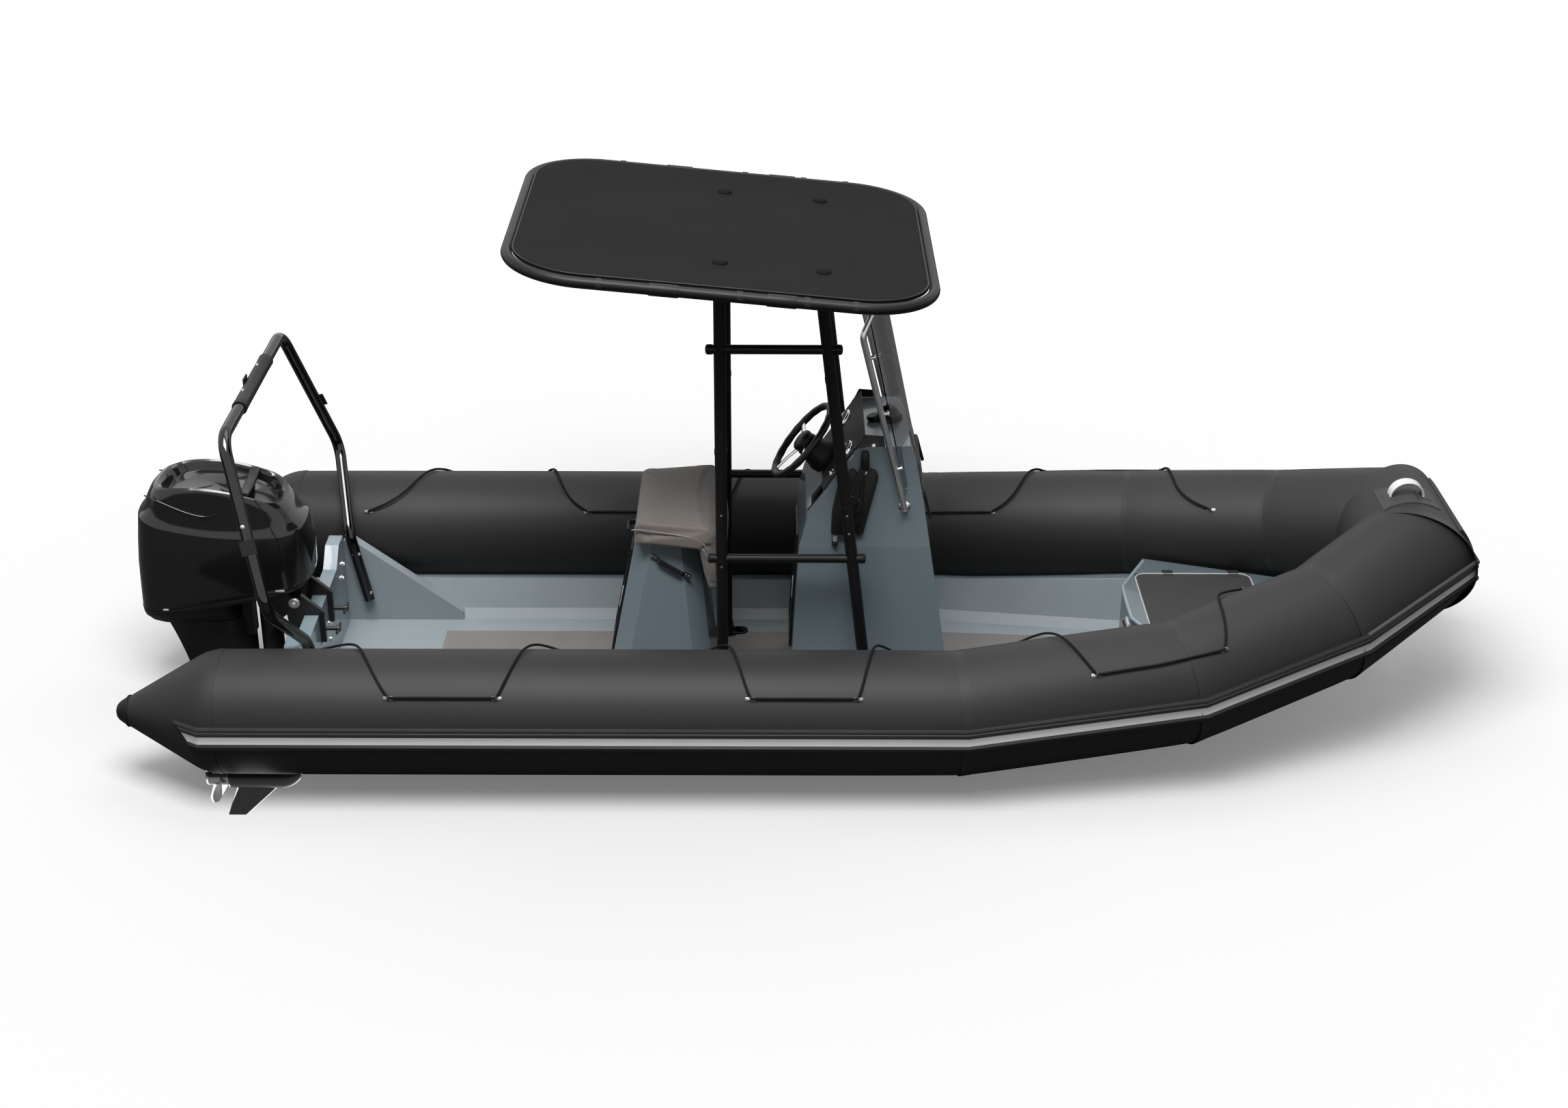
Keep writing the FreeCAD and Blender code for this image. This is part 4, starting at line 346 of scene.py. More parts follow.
def make_mottle_group():
    """Slow change over the surface: handling marks, sun and salt."""
    group, given, out = new_group("mottle", "Mask", Size=3.0, Contrast=1.0)
    broad = add_node(group, "TexNoise", Vector=add_node(group, "TexCoord").outputs["Object"], Scale=given["Size"],
        Detail=6.0, Roughness=0.6)
    centred = math_node(group, "SUBTRACT", broad.outputs["Fac"], 0.5)
    scaled = math_node(group, "MULTIPLY", centred, given["Contrast"])
    feed(group, out, Mask=math_node(group, "ADD", scaled, 0.5, True))
    return group


def make_grain_group():
    """Fine pebble of moulded plastic, coated cloth or cast paint."""
    group, given, out = new_group("grain", "Height", Size=900.0, Depth=0.3)
    fine = add_node(group, "TexNoise", Vector=add_node(group, "TexCoord").outputs["Object"], Scale=given["Size"],
        Detail=3.0)
    feed(group, out, Height=math_node(group, "MULTIPLY", fine.outputs["Fac"], given["Depth"]))
    return group


def make_weave_group():
    """Crossed threads: two square waves over and under each other."""
    group, given, out = new_group("weave", "Height", Threads=900.0, Depth=0.5)
    place = add_node(group, "TexCoord").outputs["Object"]
    waves = []
    for direction in ("X", "Y"):
        wave = add_node(group, "TexWave", Vector=place, Scale=given["Threads"], Distortion=0.4, Detail=1.0)
        wave.bands_direction = direction
        waves.append(wave.outputs["Fac"])
    crossed = math_node(group, "MULTIPLY", *waves)
    feed(group, out, Height=math_node(group, "MULTIPLY", crossed, given["Depth"]))
    return group


MOTTLE = make_mottle_group()
GRAIN = make_grain_group()
WEAVE = make_weave_group()


def place_group(tree, group, **values):
    node = tree.nodes.new("ShaderNodeGroup")
    node.node_tree = group
    feed(tree, node, **values)
    return node


def new_material(name):
    """A material with its node tree and its shader."""
    material = bpy.data.materials.new(name)
    material.use_nodes = True
    return material, material.node_tree, material.node_tree.nodes["Principled BSDF"]


def mottled(tree, size, contrast, dark, pale):
    """The mottle's mask, and two colours blended by it."""
    mask = place_group(tree, MOTTLE, Size=size, Contrast=contrast).outputs["Mask"]
    blend = tree.nodes.new("ShaderNodeMix")
    blend.data_type = "RGBA"
    feed(tree, blend, Factor=mask, A=(*dark, 1), B=(*pale, 1))
    return mask, blend.outputs["Result"]


def make_material(name, colour, roughness, metallic=0.0, coat=0.0, specular=0.5, sheen=0.0, vary=0.15, vary_size=3.0,
        rough_vary=0.08, grain=None, depth=0.3, threads=None, relief_height=0.0002):
    """A finish whose colour, gloss and fine relief change over the surface.

    grain sizes a pebbled relief and threads a woven one; larger is finer.
    """
    material, tree, shader = new_material(name)
    mask, shade = mottled(tree, vary_size, 1.6, [c * (1 - vary) for c in colour],
        [min(1.0, c * (1 + vary)) for c in colour])
    gloss = add_node(tree, "MapRange", Value=mask, To_Min=max(0.02, roughness - rough_vary),
        To_Max=min(1.0, roughness + rough_vary))
    feed(tree, shader, Metallic=metallic, Coat_Weight=coat, Coat_Roughness=0.04, Specular_IOR_Level=specular,
        Sheen_Weight=sheen, Base_Color=shade, Roughness=gloss.outputs["Result"])
    if grain:
        texture = place_group(tree, GRAIN, Size=grain, Depth=depth)
    elif threads:
        texture = place_group(tree, WEAVE, Threads=threads)
    if grain or threads:
        bump = add_node(tree, "Bump", Distance=relief_height, Height=texture.outputs["Height"])
        feed(tree, shader, Normal=bump.outputs["Normal"])
    return material


TUBE_FABRIC = make_material("tube_fabric", (0.0165, 0.0165, 0.017), 0.52, specular=0.18, vary=0.05, vary_size=1.2,
    rough_vary=0.03, threads=1400.0, relief_height=0.00008)
SEAM_TAPE = make_material("seam_tape", (0.02, 0.02, 0.0205), 0.48, specular=0.16, vary=0.06, grain=1200.0)
NOSE_WRAP = make_material("nose_wrap", (0.007, 0.007, 0.0075), 0.45, specular=0.12, vary=0.08, grain=1400.0)
PATCH_RUBBER = make_material("patch_rubber", (0.034, 0.034, 0.035), 0.55, specular=0.16, vary=0.08, grain=1000.0)
STRAKE_DARK = make_material("strake_dark", (0.01, 0.01, 0.011), 0.5, specular=0.12, vary=0.1, grain=700.0)
STRAKE_GREY = make_material("strake_grey", (0.045, 0.045, 0.046), 0.5, specular=0.2, vary=0.08, grain=700.0)
STRAKE_WHITE = make_material("strake_white", (0.86, 0.86, 0.86), 0.45, vary=0.04, grain=700.0)
ROPE_BLACK = make_material("rope_black", (0.007, 0.007, 0.007), 0.7, specular=0.08, vary=0.25, vary_size=60.0,
    grain=2500.0, relief_height=0.0004)
GELCOAT = make_material("gelcoat", (0.16, 0.205, 0.229), 0.24, coat=0.35, vary=0.05, vary_size=1.5, rough_vary=0.05,
    grain=60.0, depth=0.2, relief_height=0.0004)
# a darker copy of the gelcoat for the bow deck: painted shade, not a colour of its own
GELCOAT_PAINTED_SHADE = make_material("gelcoat_painted_shade", (0.064, 0.085, 0.093), 0.24, coat=0.35, vary=0.05, vary_size=1.5,
    rough_vary=0.05, grain=60.0, depth=0.2, relief_height=0.0004)
GELCOAT_FLOOR = make_material("gelcoat_floor", (0.2, 0.232, 0.246), 0.42, coat=0.1, vary=0.05, grain=500.0,
    relief_height=0.0003)
FLOOR_FOAM = make_material("floor_foam", (0.15, 0.143, 0.138), 0.75, specular=0.3, vary=0.08, vary_size=6.0,
    grain=400.0, relief_height=0.0006)
LID_TEXTURE = make_material("lid_texture", (0.027, 0.027, 0.028), 0.6, specular=0.15, vary=0.08, vary_size=10.0,
    grain=350.0, relief_height=0.0006)
CUSHION_CLOTH = make_material("cushion_cloth", (0.168, 0.15, 0.136), 0.62, specular=0.35, sheen=0.15, vary=0.06,
    vary_size=5.0, grain=700.0, relief_height=0.0004)
PIPING_BLACK = make_material("piping_black", (0.01, 0.01, 0.011), 0.42, specular=0.15, vary=0.1, grain=1500.0)
PIPING = make_material("piping", (0.235, 0.214, 0.198), 0.5, vary=0.05, grain=1500.0)
CANOPY_CLOTH = make_material("canopy_cloth", (0.0068, 0.0068, 0.0072), 0.85, specular=0.06, vary=0.06, vary_size=2.5,
    threads=900.0, relief_height=0.0003)
BLACK_TUBE = make_material("black_tube", (0.007, 0.007, 0.0075), 0.4, specular=0.15, vary=0.1, grain=1800.0)
BLACK_PLASTIC = make_material("black_plastic", (0.01, 0.01, 0.011), 0.42, specular=0.2, vary=0.12, vary_size=8.0,
    grain=1500.0)
DASH_PLASTIC = make_material("dash_plastic", (0.022, 0.022, 0.023), 0.5, specular=0.15, vary=0.08, grain=1500.0)
WHEEL_GRIP = make_material("wheel_grip", (0.012, 0.012, 0.013), 0.38, specular=0.25, vary=0.15, vary_size=20.0,
    grain=800.0, relief_height=0.0004)
STAINLESS = make_material("stainless", (0.62, 0.62, 0.63), 0.25, metallic=1.0, vary=0.06, vary_size=8.0,
    rough_vary=0.05, grain=300.0, depth=0.05, relief_height=0.0001)
DARK_STAINLESS = make_material("dark_stainless", (0.052, 0.052, 0.054), 0.06, metallic=1.0, vary=0.08, vary_size=6.0,
    rough_vary=0.05, grain=300.0, depth=0.05, relief_height=0.0001)
CHROME = make_material("chrome", (0.8, 0.8, 0.8), 0.06, metallic=1.0, vary=0.03, rough_vary=0.02)
COWL_GLOSS = make_material("cowl_gloss", (0.006, 0.006, 0.0065), 0.13, coat=0.3, specular=0.4, vary=0.1,
    rough_vary=0.02, grain=40.0, depth=0.1, relief_height=0.0003)
MOTOR_PAINT = make_material("motor_paint", (0.01, 0.01, 0.0105), 0.32, specular=0.3, vary=0.1, grain=900.0)
PROP_METAL = make_material("prop_metal", (0.16, 0.16, 0.16), 0.28, metallic=0.9, vary=0.15, vary_size=15.0,
    grain=400.0, depth=0.1)
CAST_METAL = make_material("cast_metal", (0.4, 0.4, 0.4), 0.5, metallic=0.8, grain=300.0)
EYELET_METAL = make_material("eyelet_metal", (0.1, 0.1, 0.1), 0.35, metallic=1.0, grain=300.0)
HANDLE_PALE = make_material("handle_pale", (0.5, 0.5, 0.51), 0.4, vary=0.06, grain=900.0)
SWITCH_GREY = make_material("switch_grey", (0.3, 0.3, 0.3), 0.4, vary=0.05, grain=900.0)


def make_glass(name, tint, roughness, clearness):
    """Tinted sheet: partly see-through, with a glossy face."""
    material, tree, shader = new_material(name)
    shade = mottled(tree, 2.0, 0.5, [c * 0.95 for c in tint], tint)[1]
    feed(tree, shader, Transmission_Weight=clearness, IOR=1.2, Base_Color=shade, Roughness=roughness)
    return material


SMOKED_GLASS = make_glass("smoked_glass", (0.7, 0.7, 0.71), 0.03, 1.0)

FINISHES = {"tube_fabric": TUBE_FABRIC, "strake": STRAKE_DARK, "rope": ROPE_BLACK, "gelcoat": GELCOAT,
    "black_plastic": BLACK_PLASTIC, "patch": PATCH_RUBBER, "handle_grey": HANDLE_PALE, "lid": LID_TEXTURE,
    "mat": FLOOR_FOAM, "cushion": CUSHION_CLOTH, "smoked_glass": SMOKED_GLASS, "stainless": STAINLESS,
    "dark_stainless": DARK_STAINLESS, "black_tube": BLACK_TUBE, "cloth": CANOPY_CLOTH, "black_rubber": WHEEL_GRIP,
    "cowling": COWL_GLOSS, "motor_paint": MOTOR_PAINT, "engine_metal": CAST_METAL,}


def paint(node, material):
    """A better finish for a CAD node that keeps its shape."""
    mesh = nodes[node].data
    mesh.materials.clear()
    mesh.materials.append(material)


for part in frame["record"]["subparts"]:
    paint(part["node"], FINISHES[part["material_slot"]])
paint("deck_liner", GELCOAT_FLOOR)
paint("dash_panel", DASH_PLASTIC)
# the bow deck takes the darker gelcoat copy, which paints shade onto it
paint("bow_deck", GELCOAT_PAINTED_SHADE)
paint("propeller", PROP_METAL)


# Inflated side tubes
def run_frame(k):
    """Direction of run k with the tube's outboard and upward directions."""
    along = (TUBE_LINE[k + 1] - TUBE_LINE[k]).normalized()
    out = Vector((-along.y, along.x, 0)).normalized()
    return along, out, along.cross(out)


def mitre(k):
    """Plane that halves the bend at point k."""
    if k == 0:
        return TUBE_LINE[0], Vector((1, 0, 0))
    into = (TUBE_LINE[k] - TUBE_LINE[k - 1]).normalized()
    on = (TUBE_LINE[k + 1] - TUBE_LINE[k]).normalized()
    return TUBE_LINE[k], (into + on).normalized()


def tube_ring(k, share, radius, sides=80):
    """Ring round run k, at a share of the way between its two mitre planes."""
    along, out, up = run_frame(k)
    base = TUBE_LINE[k]
    (p0, n0), (p1, n1) = mitre(k), mitre(k + 1)
    ring = []
    for angle in round_angles(sides):
        point = base + (out * math.cos(angle) + up * math.sin(angle)) * radius
        near = (p0 - point).dot(n0) / along.dot(n0)
        far = (p1 - point).dot(n1) / along.dot(n1)
        ring.append(point + along * (near + (far - near) * share))
    return ring


def run_rings(k, count):
    """Rings of one inflated run, closer together at its ends: pinched at its seams, full between them."""
    rings = []
    for step in range(count + 1):
        share = 0.5 - 0.5 * math.cos(math.pi * step / count)
        pinch = SEAM_PINCH * abs(2 * share - 1) ** 6
        rings.append(tube_ring(k, share, TUBE_RADIUS - pinch))
    return rings


def cone_rings(sides=80):
    """Stern cone from its round tip to the soft shoulder where the tube begins."""
    length = TUBE_LINE[0].x - CONE_TIP
    cap, shoulder = 0.05, 0.06
    angle = math.atan(TUBE_RADIUS / length)
    for _ in range(20):
        apex = length + cap / math.sin(angle) - cap
        angle = math.atan(TUBE_RADIUS / apex)
    stations = []
    for step in range(1, 9):
        turn = (math.pi / 2 - angle) * step / 8
        stations.append((-length + cap - cap * math.cos(turn), cap * math.sin(turn)))
    start, end = stations[-1], (-shoulder * math.cos(angle), TUBE_RADIUS - shoulder * math.sin(angle))
    for step in range(1, 10):
        share = step / 9
        stations.append((start[0] + (end[0] - start[0]) * share, start[1] + (end[1] - start[1]) * share))
    for step in range(1, 7):
        share = step / 6
        one, two, three = (1 - share) ** 2, 2 * share * (1 - share), share ** 2
        stations.append((end[0] * one + shoulder * three, end[1] * one + TUBE_RADIUS * (two + three)))
    rings = []
    for along, radius in stations:
        centre = TUBE_LINE[0] + Vector((along, 0, 0))
        rings.append([centre + Vector((0, radius * math.cos(a), radius * math.sin(a))) for a in round_angles(sides)])
    return rings


def mirrored(points):
    return [Vector((p.x, -p.y, p.z)) for p in points]


def tube_tape(name, k, side):
    """A glued band over the seam where run k begins."""
    length = (TUBE_LINE[k + 1] - TUBE_LINE[k]).length
    rings = []
    for step in (-1, 0, 1):
        rings.append(tube_ring(k, step * TAPE_HALF / length, TUBE_RADIUS - SEAM_PINCH + TAPE_LIFT))
    if side < 0:
        rings = [mirrored(ring) for ring in rings]
    tape = extruded_rings(name, rings, close_start=False, close_end=False)
    modify(tape, "SOLIDIFY", thickness=TAPE_THICK, offset=1.0)
    return finish(tape, SEAM_TAPE)


def side_tube(side, name):
    rings = cone_rings() + run_rings(0, 26)[2:] + run_rings(1, 10)[1:] + run_rings(2, 8)[1:] + run_rings(3, 6)[1:]
    if side < 0:
        rings = [mirrored(ring) for ring in rings]
    skin = extruded_rings("tube_skin_" + name, rings)
    finish(skin, TUBE_FABRIC, angle=50, stands_for=("tube_" + name,))
    for k in (1, 2, 3):
        tube_tape("tube_tape_%s_%d" % (name, k), k, side)


for side, name in SIDES:
    side_tube(side, name)
bow_skin = extruded_rings("tube_skin_bow", run_rings(4, 12))
finish(bow_skin, TUBE_FABRIC, angle=50, stands_for=("tube_bow",))
for side, name in SIDES:
    tube_tape("tube_tape_%s_4" % name, 4, side)


# Moulded rubber cap over each cone's tip
CAP_PROFILE = [(-0.376, 0.0), (-0.3745, 0.014), (-0.37, 0.026), (-0.362, 0.036), (-0.35, 0.045), (-0.338, 0.0525),
    (-0.331, 0.0585), (-0.3285, 0.0625), (-0.325, 0.064), (-0.3215, 0.0625), (-0.3195, 0.06)]
for side, name in SIDES:
    tip = Vector((TUBE_LINE[0].x, TUBE_LINE[0].y * side, TUBE_LINE[0].z))
    cap = revolved("cone_cap_" + name, [(along - 0.0015, radius) for along, radius in CAP_PROFILE], tip, (1, 0, 0),
        64)
    finish(cap, NOSE_WRAP)


# Rubbing strake: the outline of part.py's, carried round the boat in one length, in three colours
STRAKE_TOP, STRAKE_LOW, STRAKE_FACE = 0.072, 0.031, 0.257
STRAKE_LEDGE = STRAKE_FACE - 0.0025
STRAKE_OUTLINE = [(0.2404, 0.072), (STRAKE_LEDGE, 0.072), (STRAKE_FACE, 0.0662), (STRAKE_FACE, 0.0576),
    (0.252, 0.0533), (STRAKE_FACE, 0.0475), (STRAKE_FACE, 0.036), (STRAKE_LEDGE, 0.0302), (STRAKE_LEDGE, -0.0025),
    (0.266, -0.0093), (0.266, -0.0217), (0.2537, -0.031), (0.2489, -0.031), (0.2505, 0.0), (0.248, 0.036)]
TAIL_TOP, TAIL_LOW = 0.1, 0.025
CONE_SLOPE = 0.5774


def strake_ring(k, plane_point, plane_normal):
    along, out, up = run_frame(k)
    ring = []
    for o, u in STRAKE_OUTLINE:
        point = TUBE_LINE[k] + out * o + up * u
        ring.append(point + along * ((plane_point - point).dot(plane_normal) / along.dot(plane_normal)))
    return ring


def strake_tail_ring(root):
    """The aft end, laid along the stern cone and cut at a slant."""
    ring = []
    for (o, u), point in zip(STRAKE_OUTLINE, root):
        back = TAIL_LOW + (TAIL_TOP - TAIL_LOW) * (u + STRAKE_LOW) / (STRAKE_TOP + STRAKE_LOW)
        ring.append(point - Vector((back, back * CONE_SLOPE, 0)))
    return ring


def beside_line(point):
    """Offsets outboard of and above the tube's centreline, either side."""
    near = Vector((point.x, abs(point.y), point.z))
    k = max([0] + [j for j in range(1, 5) if (near - mitre(j)[0]).dot(mitre(j)[1]) > 0])
    along, out, up = run_frame(k)
    return (near - TUBE_LINE[k]).dot(out), (near - TUBE_LINE[k]).dot(up)


# How far each leg of the strake hangs below its place on the first, and where its white band lies on that one
LEG_SAG = (0.0008, 0.0045, 0.0068, 0.0186)
WHITE_BAND = (0.2545, 0.0139)
port_rings = [strake_ring(0, *mitre(0))] + [strake_ring(k, *mitre(k)) for k in (1, 2, 3, 4)]
port_rings = [strake_tail_ring(port_rings[0])] + port_rings
strake = extruded_rings("rubbing_strake", port_rings + [mirrored(ring) for ring in reversed(port_rings)])
finish(strake, STRAKE_DARK, angle=25, stands_for=("strake_port", "strake_starboard", "strake_bow"))
strake.data.materials.append(STRAKE_GREY)
strake.data.materials.append(STRAKE_WHITE)
for face in strake.data.polygons:
    outward, height = beside_line(face.center)
    outward += max(0.0, TUBE_LINE[0].x - face.center.x) * CONE_SLOPE
    height += LEG_SAG[sum(face.center.x > TUBE_LINE[leg].x for leg in (1, 2, 3))]
    if abs(outward - WHITE_BAND[0]) < 0.0009 and abs(height - WHITE_BAND[1]) < 0.005:
        face.material_index = 2
    elif outward > 0.2505 and height > 0.03:
        face.material_index = 1


# Lifelines: the same points as part.py, three laid strands following their smooth line
EYES = [(-2.002, 141), (-1.648, 42), (-1.227, 42), (-1.002, 141), (-0.429, 141), (-0.242, 42), (0.177, 42),
    (0.334, 141), (0.872, 141), (1.1, 48), (1.593, 50), (1.885, 141)]
CROSSING = [(0.1, 0.03, 1.3), (0.28, 0.09, 1.9), (0.47, 0.21, 2.0), (0.61, 0.41, 1.7), (0.73, 0.63, 1.4),
    (0.87, 0.85, 1.2)]
INNER_BEND = [(0.4, 1.0), (0.55, 1.1)]
EYE_REACH = 0.014


def tube_frame(x):
    """Centreline point of the port tube at a station, with its run's directions."""
    k = max([0] + [j for j in range(1, 4) if x > TUBE_LINE[j].x])
    start, end = TUBE_LINE[k], TUBE_LINE[k + 1]
    return start.lerp(end, (x - start.x) / (end.x - start.x)), run_frame(k)


def on_tube(x, degrees, lift):
    centre, (along, out, up) = tube_frame(x)
    turn = math.radians(degrees)
    return centre + (out * math.cos(turn) + up * math.sin(turn)) * (TUBE_RADIUS + lift)


def lifeline_route():
    points = [on_tube(*EYES[0], ROPE_LIFT)]
    for (x0, d0), (x1, d1) in zip(EYES, EYES[1:]):
        if abs(d0 - d1) > 10:
            table = CROSSING
            if d0 < d1:
                table = [(1 - along, 1 - turn, rise) for along, turn, rise in reversed(CROSSING)]
            for along, turn, rise in table:
                points.append(on_tube(x0 + (x1 - x0) * along, d0 + (d1 - d0) * turn, ROPE_LIFT * rise))
            if x1 != EYES[-1][0]:
                points += [on_tube(x1, d1, ROPE_LIFT), on_tube(x1 + EYE_REACH, d1, ROPE_LIFT)]
            continue
        if x0 < TUBE_LINE[1].x < x1 or x0 < TUBE_LINE[2].x < x1:
            for along, rise in INNER_BEND:
                points.append(on_tube(x0 + (x1 - x0) * along, d0 + (d1 - d0) * along, ROPE_LIFT * rise))
        points += [on_tube(x1 - EYE_REACH, d1, ROPE_LIFT), on_tube(x1, d1, ROPE_LIFT)]
    points.append(on_tube(*EYES[-1], ROPE_LIFT))
    return points


def smooth_line(name, points):
    """Points read from the route's NURBS spline."""
    line = new_line(name, points, fineness=12)
    bpy.context.view_layer.update()
    mesh = bpy.data.meshes.new_from_object(line)
    places = [vert.co.copy() for vert in mesh.vertices]
    bpy.data.objects.remove(line)
    return places


def evenly(points, step):
    """The same line divided at even steps."""
    spaced, left = [points[0].copy()], step
    for start, end in zip(points, points[1:]):
        run = (end - start).length
        while run > 1e-9 and left <= run:
            start = start.lerp(end, left / run)
            run = (end - start).length
            spaced.append(start.copy())
            left = step
        left -= run
    return spaced


def laid_strands(name, line, radius, strand_radius, pitch, count=3):
    """Strands wound round a line, each a round cord along its own helix."""
    normal = (line[1] - line[0]).orthogonal().normalized()
    strands, walked = [[] for _ in range(count)], 0.0
    for k, place in enumerate(line):
        along = (line[min(k + 1, len(line) - 1)] - line[max(k - 1, 0)]).normalized()
        normal = (normal - along * normal.dot(along)).normalized()
        side = along.cross(normal)
        if k:
            walked += (place - line[k - 1]).length
        for s in range(count):
            angle = 2 * math.pi * (walked / pitch + s / count)
            strands[s].append(place + (normal * math.cos(angle) + side * math.sin(angle)) * (radius - strand_radius))
    return join(name, [as_mesh(new_line("%s_strand_%d" % (name, s), places, "POLY", radius=strand_radius, corners=1))
        for s, places in enumerate(strands)])


route = smooth_line("lifeline_route", lifeline_route())
for side, name in SIDES:
    line = evenly(route if side > 0 else mirrored(route), ROPE_STEP)
    rope = laid_strands("rope_" + name, line, ROPE_RADIUS, STRAND_RADIUS, ROPE_LAY)
    finish(rope, ROPE_BLACK, angle=60, stands_for=("lifeline_" + name,))


def make_eye():
    """A small oval plate with two screws and a ring that stands up round the rope."""
    base = add_box("eye_plate", (0, 0, 0.0018), (0.04, 0.015, 0.003), 0.001)
    bevel(base, 0.006, 3, 80)
    screws = [turned("eye_screw", [(3, 0), (3, 3.4), (4.6, 3), (5, 0)], (x, 0, 0), (0, 0, 1), 16)
        for x in (-0.014, 0.014)]
    ring = add_ring("eye_ring", (0, 0, ROPE_LIFT), (1, 0, 0), 0.008, 0.002, 24, 8)
    return join("eye", [base, ring] + screws)


eye_spots = []
for side in (1, -1):
    for x, degrees in EYES:
        centre, (along, out, up) = tube_frame(x)
        place = on_tube(x, degrees, 0.0)
        spot, way = Vector((place.x, place.y * side, place.z)), place - centre
        eye_spots.append(facing(spot, (way.x, way.y * side, way.z), (along.x, along.y * side, along.z)))
finish(copies("lifeline_eyelets", make_eye(), eye_spots), EYELET_METAL,
    stands_for=("lifeline_eyes",))


# Cloth top: a sheet stretched over the cross bars, its hem drawn down beside the edge tube
TOP_AFT, TOP_FRONT, TOP_HALF, TOP_CORNER = -1.17, 0.46, 0.749, 0.3
TOP_LEVEL, TOP_SLOPE = 1.982, 0.0938
CLOTH_THICK = 0.0014
CLOTH_LIFT, CLOTH_SAG = 0.0265, 0.005
WELT_RADIUS = 0.0035
EDGE_RADIUS = 0.021
REAR_LEG_X, LEG_Y = -0.365, 0.417
FRONT_LEG_FOOT, FRONT_LEG_TOP = 0.26, 0.02
FLOOR_Z = -0.028


def top_z(x):
    return TOP_LEVEL - x * TOP_SLOPE


def rounded_rectangle(x0, x1, half, radius, per_corner):
    """Outline of a rectangle with round corners, even about y = 0."""
    outline = []
    for cx, cy, first in ((x1 - radius, half - radius, 0), (x0 + radius, half - radius, 90),
            (x0 + radius, radius - half, 180), (x1 - radius, radius - half, 270)):
        for step in range(per_corner + 1):
            turn = math.radians(first + 90 * step / per_corner)
            outline.append((cx + radius * math.cos(turn), cy + radius * math.sin(turn)))
    return outline


def top_outline(inset, lift, per_corner=12):
    """The top's rounded plan on its slope."""
    plan = rounded_rectangle(TOP_AFT + inset, TOP_FRONT - inset, TOP_HALF - inset, TOP_CORNER - inset, per_corner)
    return [Vector((x, y, top_z(x) + lift)) for x, y in plan]


def ring_between(outer, share, lift):
    """The outline drawn in towards the middle of the top."""
    middle = Vector(((TOP_AFT + TOP_FRONT) / 2, 0, 0))
    ring = []
    for point in outer:
        flat = Vector((point.x, point.y, 0)).lerp(middle, share)
        ring.append(Vector((flat.x, flat.y, top_z(flat.x) + lift)))
    return ring


def make_canopy():
    hem = top_outline(EDGE_RADIUS - 0.001, 0.012)
    shoulder = top_outline(EDGE_RADIUS + 0.002, 0.0235)
    rings = [hem, shoulder, top_outline(EDGE_RADIUS + 0.01, CLOTH_LIFT)]
    for share in (0.05, 0.12, 0.22, 0.34, 0.48, 0.62, 0.76, 0.88, 0.97):
        rings.append(ring_between(rings[2], share, CLOTH_LIFT - CLOTH_SAG * math.sin(math.pi * min(1, share * 1.2)) **
            2))
    return rings


canopy_rings = make_canopy()
canopy = extruded_rings("top_sheet", canopy_rings, close_start=False)
modify(canopy, "SOLIDIFY", thickness=CLOTH_THICK, offset=-1.0)
modify(canopy, "SUBSURF", levels=1, render_levels=1)
finish(canopy, CANOPY_CLOTH, angle=50, stands_for=("top_cloth",))


welt = extruded_rings("top_welt", [top_outline(EDGE_RADIUS + WELT_RADIUS + WELT_RADIUS * math.cos(a),
    0.024 + WELT_RADIUS * math.sin(a), 16) for a in round_angles(8) + [2 * math.pi]], close_start=False,
    close_end=False)
finish(welt, PIPING_BLACK, angle=80)


def make_boss():
    """Half dome under the cloth, over the head of a frame bolt."""
    profile = [(-0.004, 0.0), (-0.004, 0.03), (0.0, 0.03), (0.005, 0.0285), (0.01, 0.0245), (0.0135, 0.018),
        (0.0155, 0.009), (0.016, 0.0)]
    return revolved("top_boss", profile, sides=32)


slope_way = Vector((TOP_SLOPE, 0, 1)).normalized()
boss_spots = [facing((x, y, top_z(x) + 0.024), slope_way) for x, y in ((-0.361, 0.446), (0.035, 0.446),
    (-0.361, -0.446), (0.035, -0.446))]
finish(copies("top_bosses", make_boss(), boss_spots), CANOPY_CLOTH, angle=60)

# sleeves over the edge tube's joints, and webbing tabs that hold the cloth down
edge_pieces = [revolved("edge_sleeve", [(along, EDGE_RADIUS + out) for along,
    out in ((-0.055, -0.001), (-0.055, 0.0022), (-0.05, 0.003), (0.05, 0.003), (0.055, 0.0022), (0.055, -0.001))],
    (x, y, top_z(x)), Vector((1, 0, -TOP_SLOPE)).normalized(), 32) for x in (-0.562, -0.125)
    for y in (-TOP_HALF, TOP_HALF)]
finish(join("edge_sleeves", edge_pieces), BLACK_TUBE)

tabs = []
for x in (-0.8, -0.52, -0.28, -0.03, 0.15):
    for side in (-1, 1):
        centre = Vector((x, side * TOP_HALF, top_z(x)))
        rings = []
        for turn in range(-30, 221, 25):
            a = math.radians(turn if side > 0 else 180 - turn)
            away = Vector((0, math.cos(a), math.sin(a)))
            near, far = centre + away * (EDGE_RADIUS + 0.0008), centre + away * (EDGE_RADIUS + 0.003)
            half = Vector((0.011, 0, -0.011 * TOP_SLOPE))
            rings.append([near - half, near + half, far + half, far - half])
        tabs.append(extruded_rings("cloth_tab", rings))
finish(join("cloth_tabs", tabs), PIPING_BLACK, angle=50)


# Frame fittings: leg joints with their screws, stub caps, floor feet
def front_leg_x(z):
    share = (z - FLOOR_Z) / (top_z(FRONT_LEG_TOP) - FLOOR_Z)
    return FRONT_LEG_FOOT + (FRONT_LEG_TOP - FRONT_LEG_FOOT) * share


def leg_point(front, side, z):
    return Vector((front_leg_x(z) if front else REAR_LEG_X, side * LEG_Y, z))


